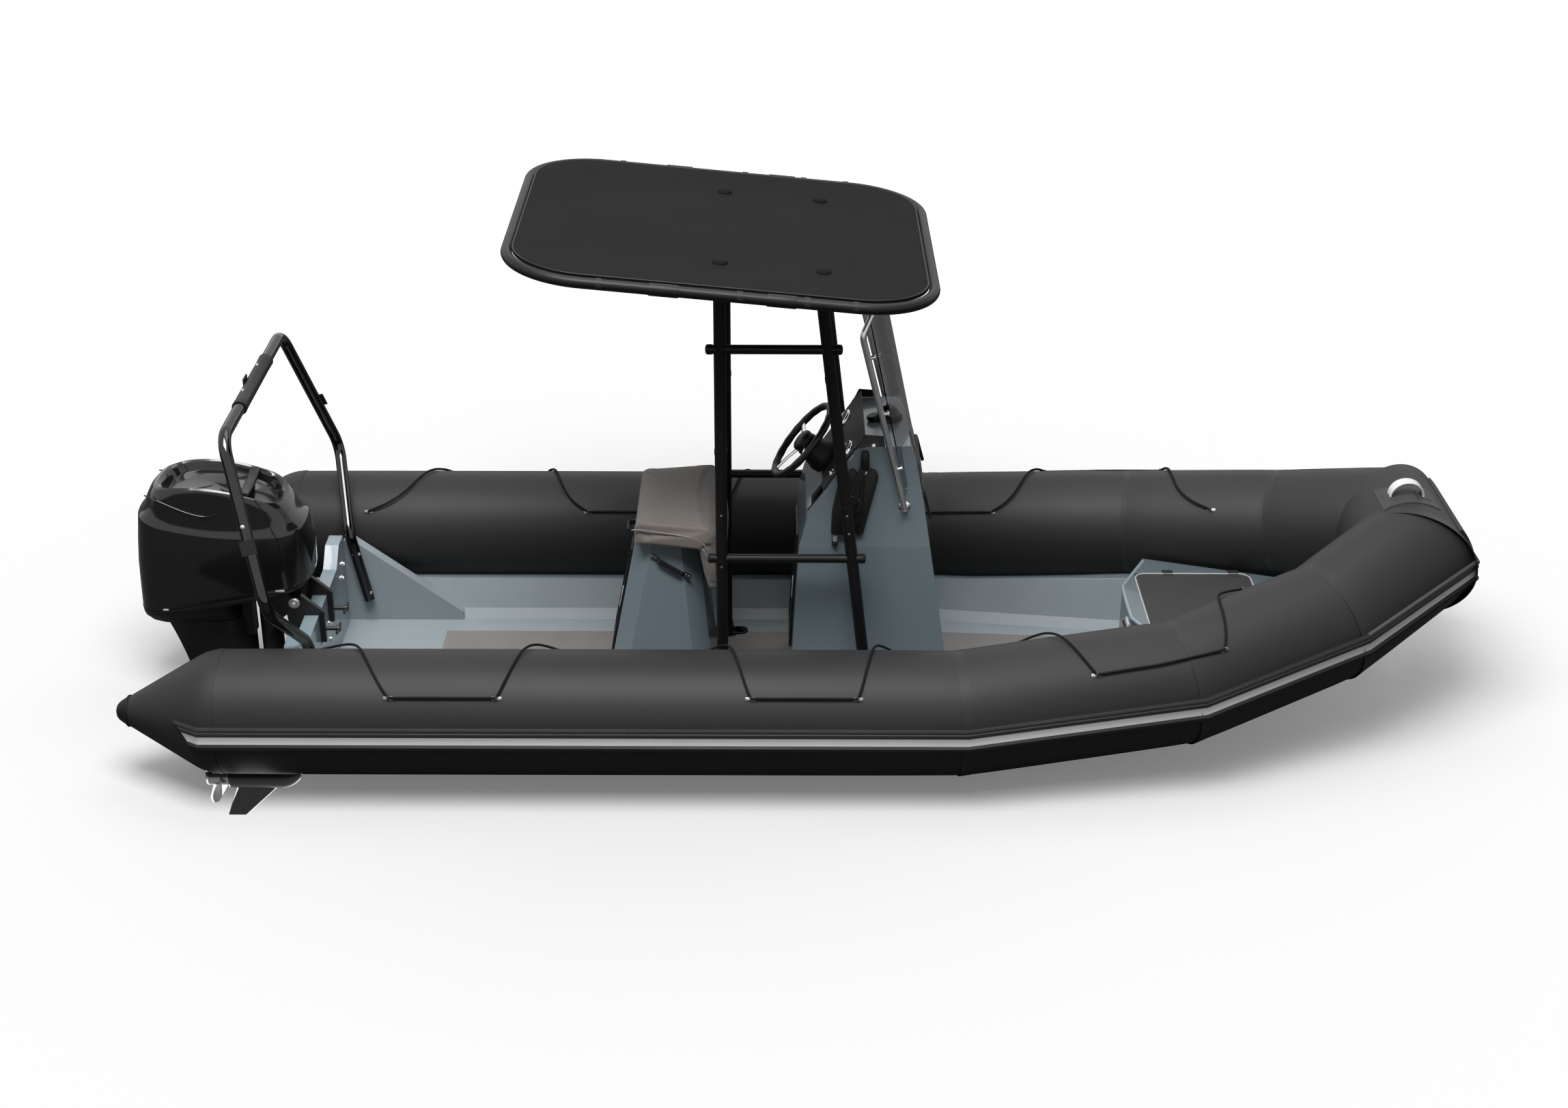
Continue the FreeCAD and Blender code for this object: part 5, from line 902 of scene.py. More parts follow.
def make_round_screw():
    """Pan-head screw standing on its seat, with a cross recess ring."""
    return turned("screw", [(-1, 0), (-1, 6.2), (1.4, 6.2), (3, 4.6), (3.6, 2.6), (2.8, 2), (2.6, 0)], sides=16)


screw_spots, collars = [], []
for side in (1, -1):
    for front, heights in ((False, (0.735, 0.965)), (True, (0.885, 0.965))):
        for z in heights:
            face = leg_point(front, side, z) + Vector((0, side * 0.0238, 0))
            screw_spots.append(facing(face, (0, side, 0)))
    for front, z in ((False, 0.75), (False, 1.24), (True, 0.995), (True, 1.55)):
        low, high = leg_point(front, side, z - 0.012), leg_point(front, side, z + 0.012)
        collars.append(turned("leg_collar", [(-12, 23.8), (-11, 25.6), (11, 25.6), (12, 23.8)], (low + high) / 2,
            high - low, 32))
    for z in (0.765, 1.674):
        for x, way in ((REAR_LEG_X - 0.045, -1), (front_leg_x(z) + 0.045, 1)):
            collars.append(turned("stub_cap", [(-14, 18.2), (-13, 19.8), (4, 19.8), (9, 16.5), (11.5, 10), (12.5, 0)],
                (x, side * LEG_Y, z), (way, 0, 0), 28))
finish(copies("frame_screws", make_round_screw(), screw_spots), EYELET_METAL)
finish(join("frame_collars", collars), BLACK_TUBE)


def make_leg_foot():
    """Eared floor flange with a raised socket and two bolts."""
    pad = add_box("leg_foot", (0, 0, 0.0095), (0.15, 0.066, 0.011), 0.003)
    ends = [add_rod("foot_ear", (x, 0, 0.004), (x, 0, 0.015), 0.033, 32, 0.003) for x in (-0.062, 0.062)]
    socket = turned("foot_socket", [(12, 24.5), (12, 40), (20, 36), (40, 28.5), (58, 27.5), (60, 26.2), (60, 24)],
        sides=36)
    bolts = [turned("foot_bolt", [(14, 0), (14, 9.5), (21, 9.5), (22.5, 8), (22.5, 0)], (x, 0, 0), (0, 0, 1), 6)
        for x in (-0.07, 0.07)]
    return join("leg_foot", [pad, socket] + ends + bolts)


feet = copies("leg_feet", make_leg_foot(), [facing((x, side * LEG_Y, FLOOR_Z), (0, 0, 1), (1, 0, 0))
    for x in (REAR_LEG_X, FRONT_LEG_FOOT) for side in (1, -1)])
finish(feet, BLACK_TUBE)


# Outboard cowling: a glossy hood with a raised rim round its top, above a satin pan
COWL_FRONT, COWL_LENGTH, COWL_HALF, COWL_HEIGHT = -2.118, 0.74, 0.19, 0.417
SEAM_Z = 0.508
COWL_BACK = COWL_FRONT - COWL_LENGTH
# front inset, back inset, half width, height of front and back, and dip at mid length, as shares
COWL_ROWS = [(0.0, 0.0, 1.0, 0.0, -0.326, 0.0), (-0.003, 0.003, 1.005, 0.03, -0.29, 0.0),
    (-0.006, 0.006, 1.01, 0.16, -0.06, 0.0), (-0.008, 0.011, 1.0, 0.3165, 0.197, 0.0),
    (0.0, 0.022, 0.985, 0.46, 0.42, 0.04), (0.01, 0.035, 0.97, 0.56, 0.62, 0.085),
    (0.016, 0.041, 0.96, 0.592, 0.705, 0.1), (0.02, 0.045, 0.95, 0.6, 0.72, 0.1),
    (0.036, 0.06, 0.92, 0.618, 0.745, 0.08), (0.052, 0.074, 0.898, 0.655, 0.785, 0.045),
    (0.067, 0.09, 0.88, 0.705, 0.84, 0.0), (0.082, 0.106, 0.864, 0.755, 0.9, -0.05),
    (0.098, 0.124, 0.845, 0.8, 0.96, -0.09), (0.118, 0.145, 0.818, 0.83, 1.0, -0.108),
    (0.138, 0.168, 0.785, 0.838, 1.015, -0.112), (0.155, 0.188, 0.752, 0.825, 1.002, -0.112),
    (0.166, 0.202, 0.73, 0.795, 0.975, -0.11), (0.172, 0.209, 0.716, 0.758, 0.938, -0.106),
    (0.182, 0.218, 0.698, 0.742, 0.92, -0.104), (0.235, 0.264, 0.58, 0.765, 0.93, -0.098),
    (0.32, 0.35, 0.38, 0.805, 0.94, -0.07), (0.43, 0.455, 0.12, 0.845, 0.945, -0.02)]


def rounded_off(points, times=3):
    """A closed outline with its corners cut off again and again."""
    for _ in range(times):
        cut = []
        for a, b in zip(points, points[1:] + points[:1]):
            cut += [a.lerp(b, 0.25), a.lerp(b, 0.75)]
        points = cut
    return points


def cowl_ring(x_front, x_back, half, z_front, z_back, dip=0.0):
    half_plan = [(x_front, half * 0.5), (x_front - half * 0.35, half * 0.94), (x_front - half * 0.95, half),
        (x_back + half * 1.15, half), (x_back + half * 0.38, half * 0.95), (x_back, half * 0.55)]
    plan = [Vector((x, y, 0)) for x, y in half_plan + [(x, -y) for x, y in reversed(half_plan)]]
    ring = []
    for point in rounded_off(plan):
        share = (point.x - x_back) / (x_front - x_back)
        sag = dip * COWL_HEIGHT * 4 * share * (1 - share)
        ring.append(Vector((point.x, point.y, z_back + (z_front - z_back) * share - sag)))
    return ring


def row_ring(front_in, back_in, half, front_up, back_up, dip=0.0, outset=0.0, lift=0.0):
    return cowl_ring(COWL_FRONT - COWL_LENGTH * front_in + outset, COWL_BACK + COWL_LENGTH * back_in - outset,
        COWL_HALF * half + outset, SEAM_Z + COWL_HEIGHT * front_up + lift, SEAM_Z + COWL_HEIGHT * back_up + lift, dip)


hood = extruded_rings("cowling_hood", [row_ring(*row) for row in COWL_ROWS])
finish(hood, COWL_GLOSS, "motor", angle=26, stands_for=("cowling_upper",))

# the parting line: a narrow black gasket, a satin pan below it and the pale latches
gasket = extruded_rings("cowling_gasket", [row_ring(0.006, 0.006, 0.985, 0.0, -0.326, lift=-0.004),
    row_ring(0.006, 0.006, 0.985, 0.0, -0.326, lift=0.001)])
finish(gasket, PIPING_BLACK, "motor")
PAN_ROWS = [(0.004, 0.004, 0.996, -0.01, -0.336, 0.0), (0.004, 0.003, 0.998, -0.03, -0.352, 0.0),
    (0.02, 0.004, 0.985, -0.06, -0.375, 0.0), (0.065, 0.009, 0.95, -0.085, -0.405, 0.0),
    (0.111, 0.016, 0.9, -0.095, -0.427, 0.0), (0.16, 0.03, 0.82, -0.1, -0.437, 0.0)]
pan = extruded_rings("cowling_pan", [row_ring(*row) for row in reversed(PAN_ROWS)])
skirt = extruded_rings("cowling_skirt", [cowl_ring(-2.444, -2.805, 0.092, 0.3, 0.285),
    cowl_ring(-2.442, -2.835, 0.128, 0.345, 0.306), cowl_ring(-2.438, -2.846, 0.16, 0.395, 0.33),
    cowl_ring(-2.43, -2.846, 0.165, 0.425, 0.345)])
finish(join("cowling_pan", [pan, skirt]), MOTOR_PAINT, "motor", angle=30, stands_for=("cowling_lower",))


def side_of_cowl(x, z, outset=0.0):
    """Point on the hood's near side at a station and height."""
    rows = [row_ring(*row) for row in COWL_ROWS[:12]]
    spots = []
    for ring in rows:
        near = min((p for p in ring if p.y < 0), key=lambda p: abs(p.x - x) - p.y * 0.2)
        spots.append(near)
    for low, high in zip(spots, spots[1:]):
        if low.z <= z <= high.z:
            spot = low.lerp(high, (z - low.z) / (high.z - low.z))
            return Vector((x, spot.y - outset, z))
    return Vector((x, spots[0].y - outset, z))


latches = []
for x, half in ((-2.725, 0.012), (-2.235, 0.019)):
    seam = SEAM_Z - 0.326 * COWL_HEIGHT * (COWL_FRONT - x) / COWL_LENGTH
    for side in (-1, 1):
        y = abs(side_of_cowl(x, seam + 0.004).y) - 0.001
        latches.append(add_box("latch", (x, side * y, seam + 0.001), (2 * half, 0.01, 0.009), 0.002))
finish(join("cowling_latches", latches), SWITCH_GREY, "motor")

# strap over the recessed top, from rim to rim
strap_rings = []
for step in range(13):
    y = 0.135 * (1 - step / 6)
    z = 0.8985 + 0.018 * (abs(y) / 0.135) ** 4
    strap_rings.append([Vector((x, y, z + dz)) for x, dz in ((-2.385, -0.012), (-2.385, 0.0), (-2.379, 0.003),
        (-2.351, 0.003), (-2.345, 0.0), (-2.345, -0.012))])
finish(extruded_rings("cowling_strap", strap_rings), MOTOR_PAINT, "motor")

# styling crease along each flank
for side, name in reversed(SIDES):
    line = [Vector((x, side * y, z)) for x, y, z in ((-2.77, 0.128, 0.905), (-2.716, 0.15, 0.893),
        (-2.64, 0.166, 0.862), (-2.57, 0.173, 0.838), (-2.526, 0.1745, 0.828), (-2.49, 0.173, 0.832),
        (-2.465, 0.17, 0.842))]
    finish(bent_bar("cowling_crease_" + name, line, 0.0022, rounding=4), COWL_GLOSS, "motor")


# Clamp and swivel fittings, and the forward face of the transom they sit on
TRANSOM_X = -2.0995


def make_clamp_screw():
    """Clamp screw: a threaded rod with a swivel foot and a folding handle."""
    rod = turned("clamp_screw", [(-55, 0), (-55, 16), (-48, 18), (-44, 9), (30, 9), (32, 14), (50, 14), (54, 10),
        (54, 0)], sides=24)
    handle = bent_bar("clamp_handle", [(-0.045, 0, 0.042), (-0.04, 0, 0.046), (0.04, 0, 0.046), (0.046, 0, 0.042)],
        0.006)
    return join("clamp_screw", [rod, handle])


clamp_spots = [facing((-2.066, y, 0.262), (1, 0, 0.0), (0, 1, 0)) for y in (-0.094, 0.094)]
finish(copies("clamp_screws", make_clamp_screw(), clamp_spots), MOTOR_PAINT)

def make_hex_bolt():
    washer = turned("bolt", [(0, 0), (0, 15), (2, 15), (2.6, 14), (2.6, 0)], sides=28)
    head = turned("bolt_head", [(2, 0), (2, 10.2), (8.5, 10.2), (10, 8.8), (10, 0)], sides=6)
    return join("bolt", [washer, head])


clamp_bolts = [facing((TRANSOM_X, y, z), (1, 0, 0)) for y in (-0.09, 0.09) for z in (0.11, 0.19)]
finish(copies("transom_bolts", make_hex_bolt(), clamp_bolts), STAINLESS)

# nuts on the ends of the tilt pin
tilt_parts = [turned("tilt_nut", [(0, 0), (0, 24), (10, 24), (14, 20), (14, 11), (26, 11), (28, 9), (28, 0)],
    (-2.195, side * 0.1192, 0.4), (0, side, 0), 24) for side in (-1, 1)]
finish(join("tilt_pin_ends", tilt_parts), CAST_METAL)


# Propeller: blades with a curved section, on a tapered hub with exhaust rings
PROP_Z, PROP_X = -0.54, -2.6385


def make_blade():
    """One cupped blade, its root on the hub; drawn pointing up."""
    rings = []
    for radius, half, pitch, skew in ((0.034, 0.034, 62, 0.0), (0.05, 0.044, 56, 2.0), (0.072, 0.05, 47, 6.0),
            (0.094, 0.048, 39, 11.0), (0.112, 0.038, 33, 17.0), (0.124, 0.022, 29, 23.0), (0.129, 0.008, 27, 26.0)):
        turn, lean = math.radians(pitch), math.radians(skew)
        thick = 0.0042 * (1.15 - radius / 0.16)
        ring = []
        for a in round_angles(16):
            chord, off = half * math.cos(a), thick * math.sin(a) + 0.12 * half * (math.cos(a) ** 2 - 0.5)
            x = chord * math.cos(turn) * 0.75 - off * math.sin(turn)
            y = chord * math.sin(turn) + off * math.cos(turn)
            spot = Vector((x, y, math.sqrt(max(radius ** 2 - y ** 2, 0.0001))))
            ring.append(Matrix.Rotation(lean, 3, "X") @ spot)
        rings.append(ring)
    return extruded_rings("blade", rings)


blade_spots = [Matrix.Translation((PROP_X, 0, PROP_Z)) @ Matrix.Rotation(math.radians(120 * k), 4, "X")
    for k in range(3)]
blades = copies("blades", make_blade(), blade_spots)
hub = turned("prop_hub", [(-47.5, 11.2), (-47.5, 34), (-45.5, 39.5), (-30, 40.5), (0, 41.5), (34, 42), (44, 42),
    (47.5, 39.5), (47.5, 11.2)], (PROP_X, 0, PROP_Z), (1, 0, 0), 48)
spinner = turned("prop_nut", [(-62, 11.2), (-62, 16), (-54, 19), (-47.8, 19), (-47.8, 11.2)], (PROP_X, 0, PROP_Z),
    (1, 0, 0), 24)
finish(join("propeller_dressed", [blades, hub, spinner]), PROP_METAL, "propeller_body", angle=40,
    stands_for=("propeller",))


# Console: dash board with its hood, gauges, switch strip, wheel, throttle and windscreen trim
DASH_LOW, DASH_TOP = Vector((-0.02, 0, 0.88)), Vector((0.19, 0, 1.19))
DASH_UP = (DASH_TOP - DASH_LOW).normalized()
DASH_OUT = Vector((-DASH_UP.z, 0, DASH_UP.x))
BOARD_TOP = 0.0066


def on_dash(along, y, lift=0.0):
    return DASH_LOW.lerp(DASH_TOP, along) + Vector((0, y, 0)) + DASH_OUT * lift


def console_side(z):
    """Half width of the console at a height."""
    return 0.3 - 0.035 * max(0.0, (z - 0.76) / 0.46)


# hood: the board's upper edge stands up and folds back over the top by a cheek at each end
hood_front = plate("hood_front", [on_dash(0.955, -0.25, BOARD_TOP), on_dash(0.955, 0.25, BOARD_TOP),
    on_dash(1.135, 0.25, BOARD_TOP), on_dash(1.135, -0.25, BOARD_TOP)], 0.005)
hood_parts = [hood_front]
for side in (-1, 1):
    hood_parts.append(plate("hood_cheek", [Vector((0.19, side * 0.266, 1.1915)),
        Vector((0.296, side * 0.266, 1.1955)), Vector((0.29, side * 0.24, 1.232)),
        Vector((0.206, side * 0.24, 1.238))], -0.004 * side))
finish(join("dash_hood", hood_parts), DASH_PLASTIC)


def make_screw():
    """Countersunk cross-head screw in its cup washer."""
    cup = turned("screw", [(0, 0), (0, 7.5), (1, 8), (2.2, 6.6), (2.6, 5), (2, 2), (1.2, 0)], sides=20)
    bars = [add_box("slot", (0, 0, 0.0022), size, 0.0) for size in ((0.0066, 0.0012, 0.0012),
        (0.0012, 0.0066, 0.0012))]
    return join("screw", [cup] + bars)


# gauges: chrome bezel, black dial, pale ticks and a pointer
GAUGE_SPOTS = [facing(on_dash(0.8, y, BOARD_TOP), DASH_OUT, (0, -1, 0)) for y in (-0.1645, 0.1645)]
bezel = turned("bezel", [(0, 40.5), (0, 47.5), (5, 47.5), (10.5, 45.5), (12.5, 42), (11.8, 38.5), (9.5, 37), (6, 37)],
    sides=64)
finish(copies("gauge_bezels", bezel, GAUGE_SPOTS), CHROME, angle=50)
dial = turned("dial", [(4, 0), (4, 36.6), (9.8, 36.6), (9.8, 15), (10.4, 14), (10.4, 0)], sides=48)
finish(copies("gauge_dials", dial, GAUGE_SPOTS), DASH_PLASTIC, stands_for=("gauges",))
marks = []
for k in range(11):
    angle = math.radians(-130 + 26 * k)
    mark = add_box("mark", (0, 0.0315 - 0.001 * (k % 2), 0.0099), (0.0014, 0.006 + 0.002 * (k % 2 == 0), 0.0006), 0.0)
    mark.matrix_world = Matrix.Rotation(angle, 4, "Z")
    marks.append(settle(mark))
pointer = plate("pointer", [(-0.0016, -0.006, 0.0106), (0.0016, -0.006, 0.0106), (0.0004, 0.026, 0.0106),
    (-0.0004, 0.026, 0.0106)], 0.0006)
pointer.matrix_world = Matrix.Rotation(math.radians(70), 4, "Z")
finish(copies("gauge_marks", join("gauge_marks", marks + [settle(pointer)]), GAUGE_SPOTS), HANDLE_PALE)

# switch strip down the near side of the dash: a blank pale insert, rocker switches and the key switch
strip = plate("switch_strip", [on_dash(0.015, -0.225), on_dash(0.015, -0.115), on_dash(0.33, -0.135),
    on_dash(0.33, -0.243)], 0.004, 0.001)
finish(strip, DASH_PLASTIC)
insert = plate("strip_insert", [on_dash(0.03, -0.215, 0.004), on_dash(0.03, -0.125, 0.004),
    on_dash(0.11, -0.13, 0.004), on_dash(0.11, -0.22, 0.004)], 0.0025, 0.0008)
finish(insert, SWITCH_GREY)
rockers = [facing(on_dash(along, -0.182, 0.004), DASH_OUT, (0, -1, 0)) for along in (0.16, 0.215, 0.27)]
rocker = join("rocker", [add_box("rocker", (0, 0, 0.002), (0.04, 0.015, 0.004), 0.001),
    add_box("rocker_key", (-0.004, 0, 0.0055), (0.022, 0.01, 0.004), 0.0015)])
finish(copies("rocker_switches", rocker, rockers), BLACK_PLASTIC)
key_switch = join("key_switch", [turned("key_collar", [(0, 0), (0, 17), (4, 17), (7, 13), (7, 0)]),
    add_box("key_slot", (0, 0, 0.009), (0.02, 0.005, 0.007), 0.001)])
finish(copies("key_switch", key_switch, [facing(on_dash(0.52, -0.19, BOARD_TOP), DASH_OUT, (0, -1, 0))]), CHROME)

# helm mount: square foot and stepped boss
wheel_turn = math.radians(40)
WHEEL_AT, WHEEL_OUT = Vector((-0.035, 0, 1.108)), Vector((-math.cos(wheel_turn), 0, math.sin(wheel_turn)))
WHEEL_UP = Vector((WHEEL_OUT.z, 0, -WHEEL_OUT.x))


def wheel_way(angle):
    """Direction from the wheel's middle to its rim."""
    return WHEEL_UP * math.cos(angle) + Vector((0, math.sin(angle), 0))


def bar_section(flat):
    """Flat bar with its four edges taken off, as shares of half its width and thickness."""
    return [(-1, -0.4), (-flat, -1), (flat, -1), (1, -0.4), (1, 0.4), (flat, 1), (-flat, 1), (-1, 0.4)]


boss = turned("helm_boss", [(-115, 0), (-115, 66), (-85, 70), (-60, 62), (-34, 56), (-18, 50.5), (0, 49.2), (0, 10),
    (-2, 9.5)], WHEEL_AT - WHEEL_OUT * 0.021, WHEEL_OUT, 48)
boss_foot = plate("helm_foot", [on_dash(along, y, BOARD_TOP) for along,
    y in ((0.36, -0.085), (0.36, 0.085), (0.72, 0.085), (0.72, -0.085))], 0.01, 0.004)
finish(join("helm_mount", [boss, boss_foot]), BLACK_PLASTIC, angle=30)

# steering wheel: thick grip with finger grooves, three flat polished spokes and a domed hub
grip_rings = []
for around in round_angles(72):
    thick = 0.015 + 0.0008 * math.cos(around * 18)
    out = wheel_way(around)
    centre = WHEEL_AT + out * 0.178
    ring = []
    for a in round_angles(14):
        ring.append(centre + out * (thick * math.cos(a)) + WHEEL_OUT * (thick * 0.95 * math.sin(a)))
    grip_rings.append(ring)
grip = extruded_rings("wheel_grip", grip_rings + [grip_rings[0]], False, False)
finish(grip, WHEEL_GRIP, "wheel", angle=60, stands_for=("steering_wheel",))
spoke_bars = []
for degrees in (88, 178, 268):
    out = wheel_way(math.radians(degrees))
    side = WHEEL_OUT.cross(out)
    rings = []
    for reach, half, drop in ((0.02, 0.017, 0.012), (0.05, 0.0125, 0.01), (0.1, 0.0105, 0.004), (0.168, 0.012, 0.0)):
        middle = WHEEL_AT + out * reach - WHEEL_OUT * drop
        rings.append([middle + side * (half * u) + WHEEL_OUT * (0.0028 * v) for u, v in bar_section(0.8)])
    spoke_bars.append(extruded_rings("spoke", rings))
finish(join("wheel_spokes", spoke_bars), CHROME, "wheel", angle=40)
hub = turned("wheel_hub", [(-20.5, 0), (-20.5, 36), (-12, 46.5), (0, 48), (8, 46), (15, 38), (19.5, 22), (20.5, 0)],
    WHEEL_AT, WHEEL_OUT, 48)
finish(hub, BLACK_PLASTIC, "wheel", angle=40)
hub_screws = [facing(WHEEL_AT + WHEEL_OUT * 0.0125 + wheel_way(a) * 0.03, WHEEL_OUT) for a in (0.6, 2.7, 4.8)]
finish(copies("hub_screws", make_screw(), hub_screws), STAINLESS, "wheel")


# throttle: two moulded plates on the side, pivot boss, arm and upright grip, and the trim knob below
def side_spot(x, z, out=0.0):
    return Vector((x, -console_side(z) - out, z))


def side_plate(name, outline, lift, thickness, round_edge):
    """A moulding on the near side from its outline in X and Z."""
    return plate(name, [side_spot(x, z, lift) for x, z in outline], thickness, round_edge)


aft_shell = side_plate("throttle_case", [(0.08, 0.825), (0.134, 0.823), (0.205, 0.88), (0.216, 1.06), (0.167, 1.112),
    (0.13, 1.085), (0.102, 1.02), (0.084, 0.925)], 0.002, 0.032, 0.009)
fore_shell = side_plate("throttle_plate", [(0.19, 0.815), (0.213, 0.828), (0.272, 1.075), (0.262, 1.1),
    (0.238, 1.108), (0.203, 1.104), (0.168, 1.03), (0.15, 0.88)], 0.002, 0.02, 0.006)
pivot = turned("throttle_pivot", [(0, 0), (0, 46), (20, 46), (26, 40), (26, 26), (23, 24), (23, 0)],
    side_spot(0.16, 0.965, 0.028), (0, -1, 0), 40)
arm_rings = []
for x, z, half, lift in ((0.15, 0.93, 0.02, 0.046), (0.165, 0.975, 0.022, 0.048), (0.188, 1.06, 0.016, 0.046),
        (0.205, 1.12, 0.014, 0.043), (0.212, 1.15, 0.012, 0.04)):
    centre = side_spot(x, z, lift)
    arm_rings.append([centre + Vector((half * u, 0.008 * v, 0)) for u, v in bar_section(0.7)])
arm = extruded_rings("throttle_arm", arm_rings)
grip_foot, grip_head = side_spot(0.214, 1.118, 0.038), side_spot(0.214, 1.192, 0.038)
hand = turned("throttle_grip", [(0, 0), (0, 15.5), (4, 17.8), (40, 18.5), (68, 17.8), (74, 15), (76.5, 0)], grip_foot,
    grip_head - grip_foot, 32)
trim_knob = turned("trim_knob", [(0, 0), (0, 10), (4, 12.5), (18, 12.5), (22, 9), (22, 0)],
    side_spot(0.098, 0.792, 0.012), (-0.15, 0, -1), 24)
finish(join("throttle_dressed", [aft_shell, fore_shell, pivot, arm, hand, trim_knob]), BLACK_PLASTIC,
    angle=32, stands_for=("throttle_control",))
spring = []
for k in range(3):
    spring.append(add_ring("spring", side_spot(0.099, 0.797 + 0.007 * k, 0.014), (0.15, 0, 1), 0.0085, 0.0018, 20, 8))
finish(join("trim_spring", spring), STAINLESS)
cover = turned("pivot_cover", [(0, 0), (0, 22), (1.6, 22.2), (2.2, 20.5), (1.6, 19), (3, 0)],
    side_spot(0.16, 0.965, 0.0535), (0, -1, 0), 32)
finish(cover, MOTOR_PAINT)
throttle_screws = [facing(side_spot(x, z, lift), (0, -1, 0)) for x, z, lift in ((0.217, 1.092, 0.0215),
    (0.197, 0.902, 0.0215))]
hood_screw = [facing((0.25, side * 0.2665, 1.2015), (0, side, 0.4)) for side in (-1, 1)]
finish(copies("console_screws", make_screw(), throttle_screws + hood_screw), STAINLESS)

# compass on the top and a knob beside it
compass_base = turned("compass_base", [(0, 0), (0, 62), (10, 60), (20, 50), (24, 44)], (0.322, 0.03, 1.196),
    (0, 0, 1), 40)
knob = turned("top_knob", [(0, 0), (0, 20), (10, 20), (13, 26), (24, 26), (28, 22), (28, 0)], (0.262, 0.01, 1.193),
    (-0.3, 0, 1), 28)
finish(join("compass_base", [compass_base, knob]), BLACK_PLASTIC)
dome = turned("compass_dome", [(0, 0), (0, 45), (12, 43), (24, 37), (34, 27), (40, 14), (42, 0)],
    (0.322, 0.03, 1.2185), (0, 0, 1), 40)
finish(dome, COWL_GLOSS, angle=60)

# rubber moulding round the console's nose, the rail's flanges and the windscreen's clips
nose = bent_bar("nose_moulding", [(0.489, 0.292, 0.89), (0.458, 0.284, 1.004), (0.4545, 0.276, 1.012),
    (0.4545, 0.1, 1.012), (0.4545, -0.1, 1.012), (0.4545, -0.276, 1.012), (0.458, -0.284, 1.004),
    (0.489, -0.292, 0.89)], 0.0065, rounding=2)
finish(nose, PIPING_BLACK)
feet = []
for side in (-1, 1):
    y = side * (console_side(0.94) + 0.001)
    feet.append(turned("rail_flange", [(0, 0), (0, 24), (3, 24.5), (5, 22), (7, 16), (16, 15), (18, 13)],
        (0.38, y, 0.94), (0, side, 0), 32))
finish(join("rail_flanges", feet), CHROME)
clip_spots = []
for z in (1.12, 1.36, 1.6):
    x = 0.38 + (0.194 - 0.38) * (z - 0.94) / 0.75
    for side in (-1, 1):
        clip_spots.append(facing((x + 0.012, side * 0.316, z), (0.93, 0, 0.25)))
clip = turned("clip", [(0, 0), (0, 7.5), (10, 7.5), (12, 11), (18, 11), (20, 8), (20, 0)], sides=20)
finish(copies("screen_clips", clip, clip_spots), CHROME)


# Helm seat cushion: a swollen pad with a piped seam between its top and its side band
PAD_VOXEL, PAD_PRESSURE, PAD_SWELL = 0.006, 4.0, 0.008
FLAP_FOOT, BASE_TOP, BASE_FRONT = 0.6, 0.7585, -0.46
SWELL_STEPS = 20
PAD_WIDE, PAD_NARROW = 0.342, 0.274
PAD_SIDE = [(-0.734, 0.752), (-0.734, 0.838), (-0.712, 0.858), (-0.42, 0.862), (-0.39, 0.832), (-0.366, 0.7),
    (-0.357, 0.578), (-0.424, 0.578), (-0.458, 0.752)]


def pad_half(x):
    """Half width of the cushion, wider in front."""
    return PAD_NARROW + (PAD_WIDE - PAD_NARROW) * (x + 0.74) / 0.39


corners = len(PAD_SIDE)
cushion = faced("seat_pad", [(x, pad_half(x) * side, z) for side in (-1, 1) for x, z in PAD_SIDE],
    [range(corners), range(2 * corners - 1, corners - 1, -1)] + [((k + 1) % corners, k, k + corners,
    (k + 1) % corners + corners) for k in range(corners)], True)
bevel(cushion, 0.028, 4, 25)
settle(cushion)


def swell(piece, voxel, pressure, cap):
    """Blows a pad up a little, as foam does under its cover, and keeps the result."""
    pick(piece)
    piece.data.remesh_voxel_size = voxel
    bpy.ops.object.voxel_remesh()
    rest = [vert.co.copy() for vert in piece.data.vertices]
    held = piece.vertex_groups.new(name="held")
    on_base = [v.index for v in piece.data.vertices if v.co.z < FLAP_FOOT or
        (v.co.z < BASE_TOP and v.co.x < BASE_FRONT)]
    held.add(on_base, 1.0, "ADD")
    cloth = piece.modifiers.new("cloth", "CLOTH")
    cloth.settings.use_pressure = True
    cloth.settings.uniform_pressure_force = pressure
    cloth.settings.effector_weights.gravity = 0.0
    cloth.settings.vertex_group_mass = "held"
    for step in range(1, SWELL_STEPS + 1):
        bpy.context.scene.frame_set(step)
    pick(piece)
    bpy.ops.object.modifier_apply(modifier=cloth.name)
    bpy.context.scene.frame_set(1)
    for vert, start in zip(piece.data.vertices, rest):
        moved = vert.co - start
        if moved.length > cap:
            vert.co = start + moved.normalized() * cap
    piece.vertex_groups.clear()
    modify(piece, "SUBSURF", levels=1, render_levels=1)
    return settle(piece)


swell(cushion, PAD_VOXEL, PAD_PRESSURE, PAD_SWELL)
finish(cushion, CUSHION_CLOTH, angle=60, stands_for=("seat_cushion",))

# piping where the top panel meets the side bands
def pad_edge(side):
    line = []
    for x, z in ((-0.737, 0.822), (-0.735, 0.828), (-0.7, 0.829), (-0.58, 0.82), (-0.485, 0.812), (-0.45, 0.797),
            (-0.424, 0.762), (-0.405, 0.7), (-0.394, 0.64), (-0.386, 0.592)):
        line.append(Vector((x, side * (pad_half(x) + 0.0045), z)))
    return line


piping = join("seat_piping", [bent_bar("seat_piping_side", pad_edge(side), 0.003, rounding=4) for side in (1, -1)])
finish(piping, PIPING)


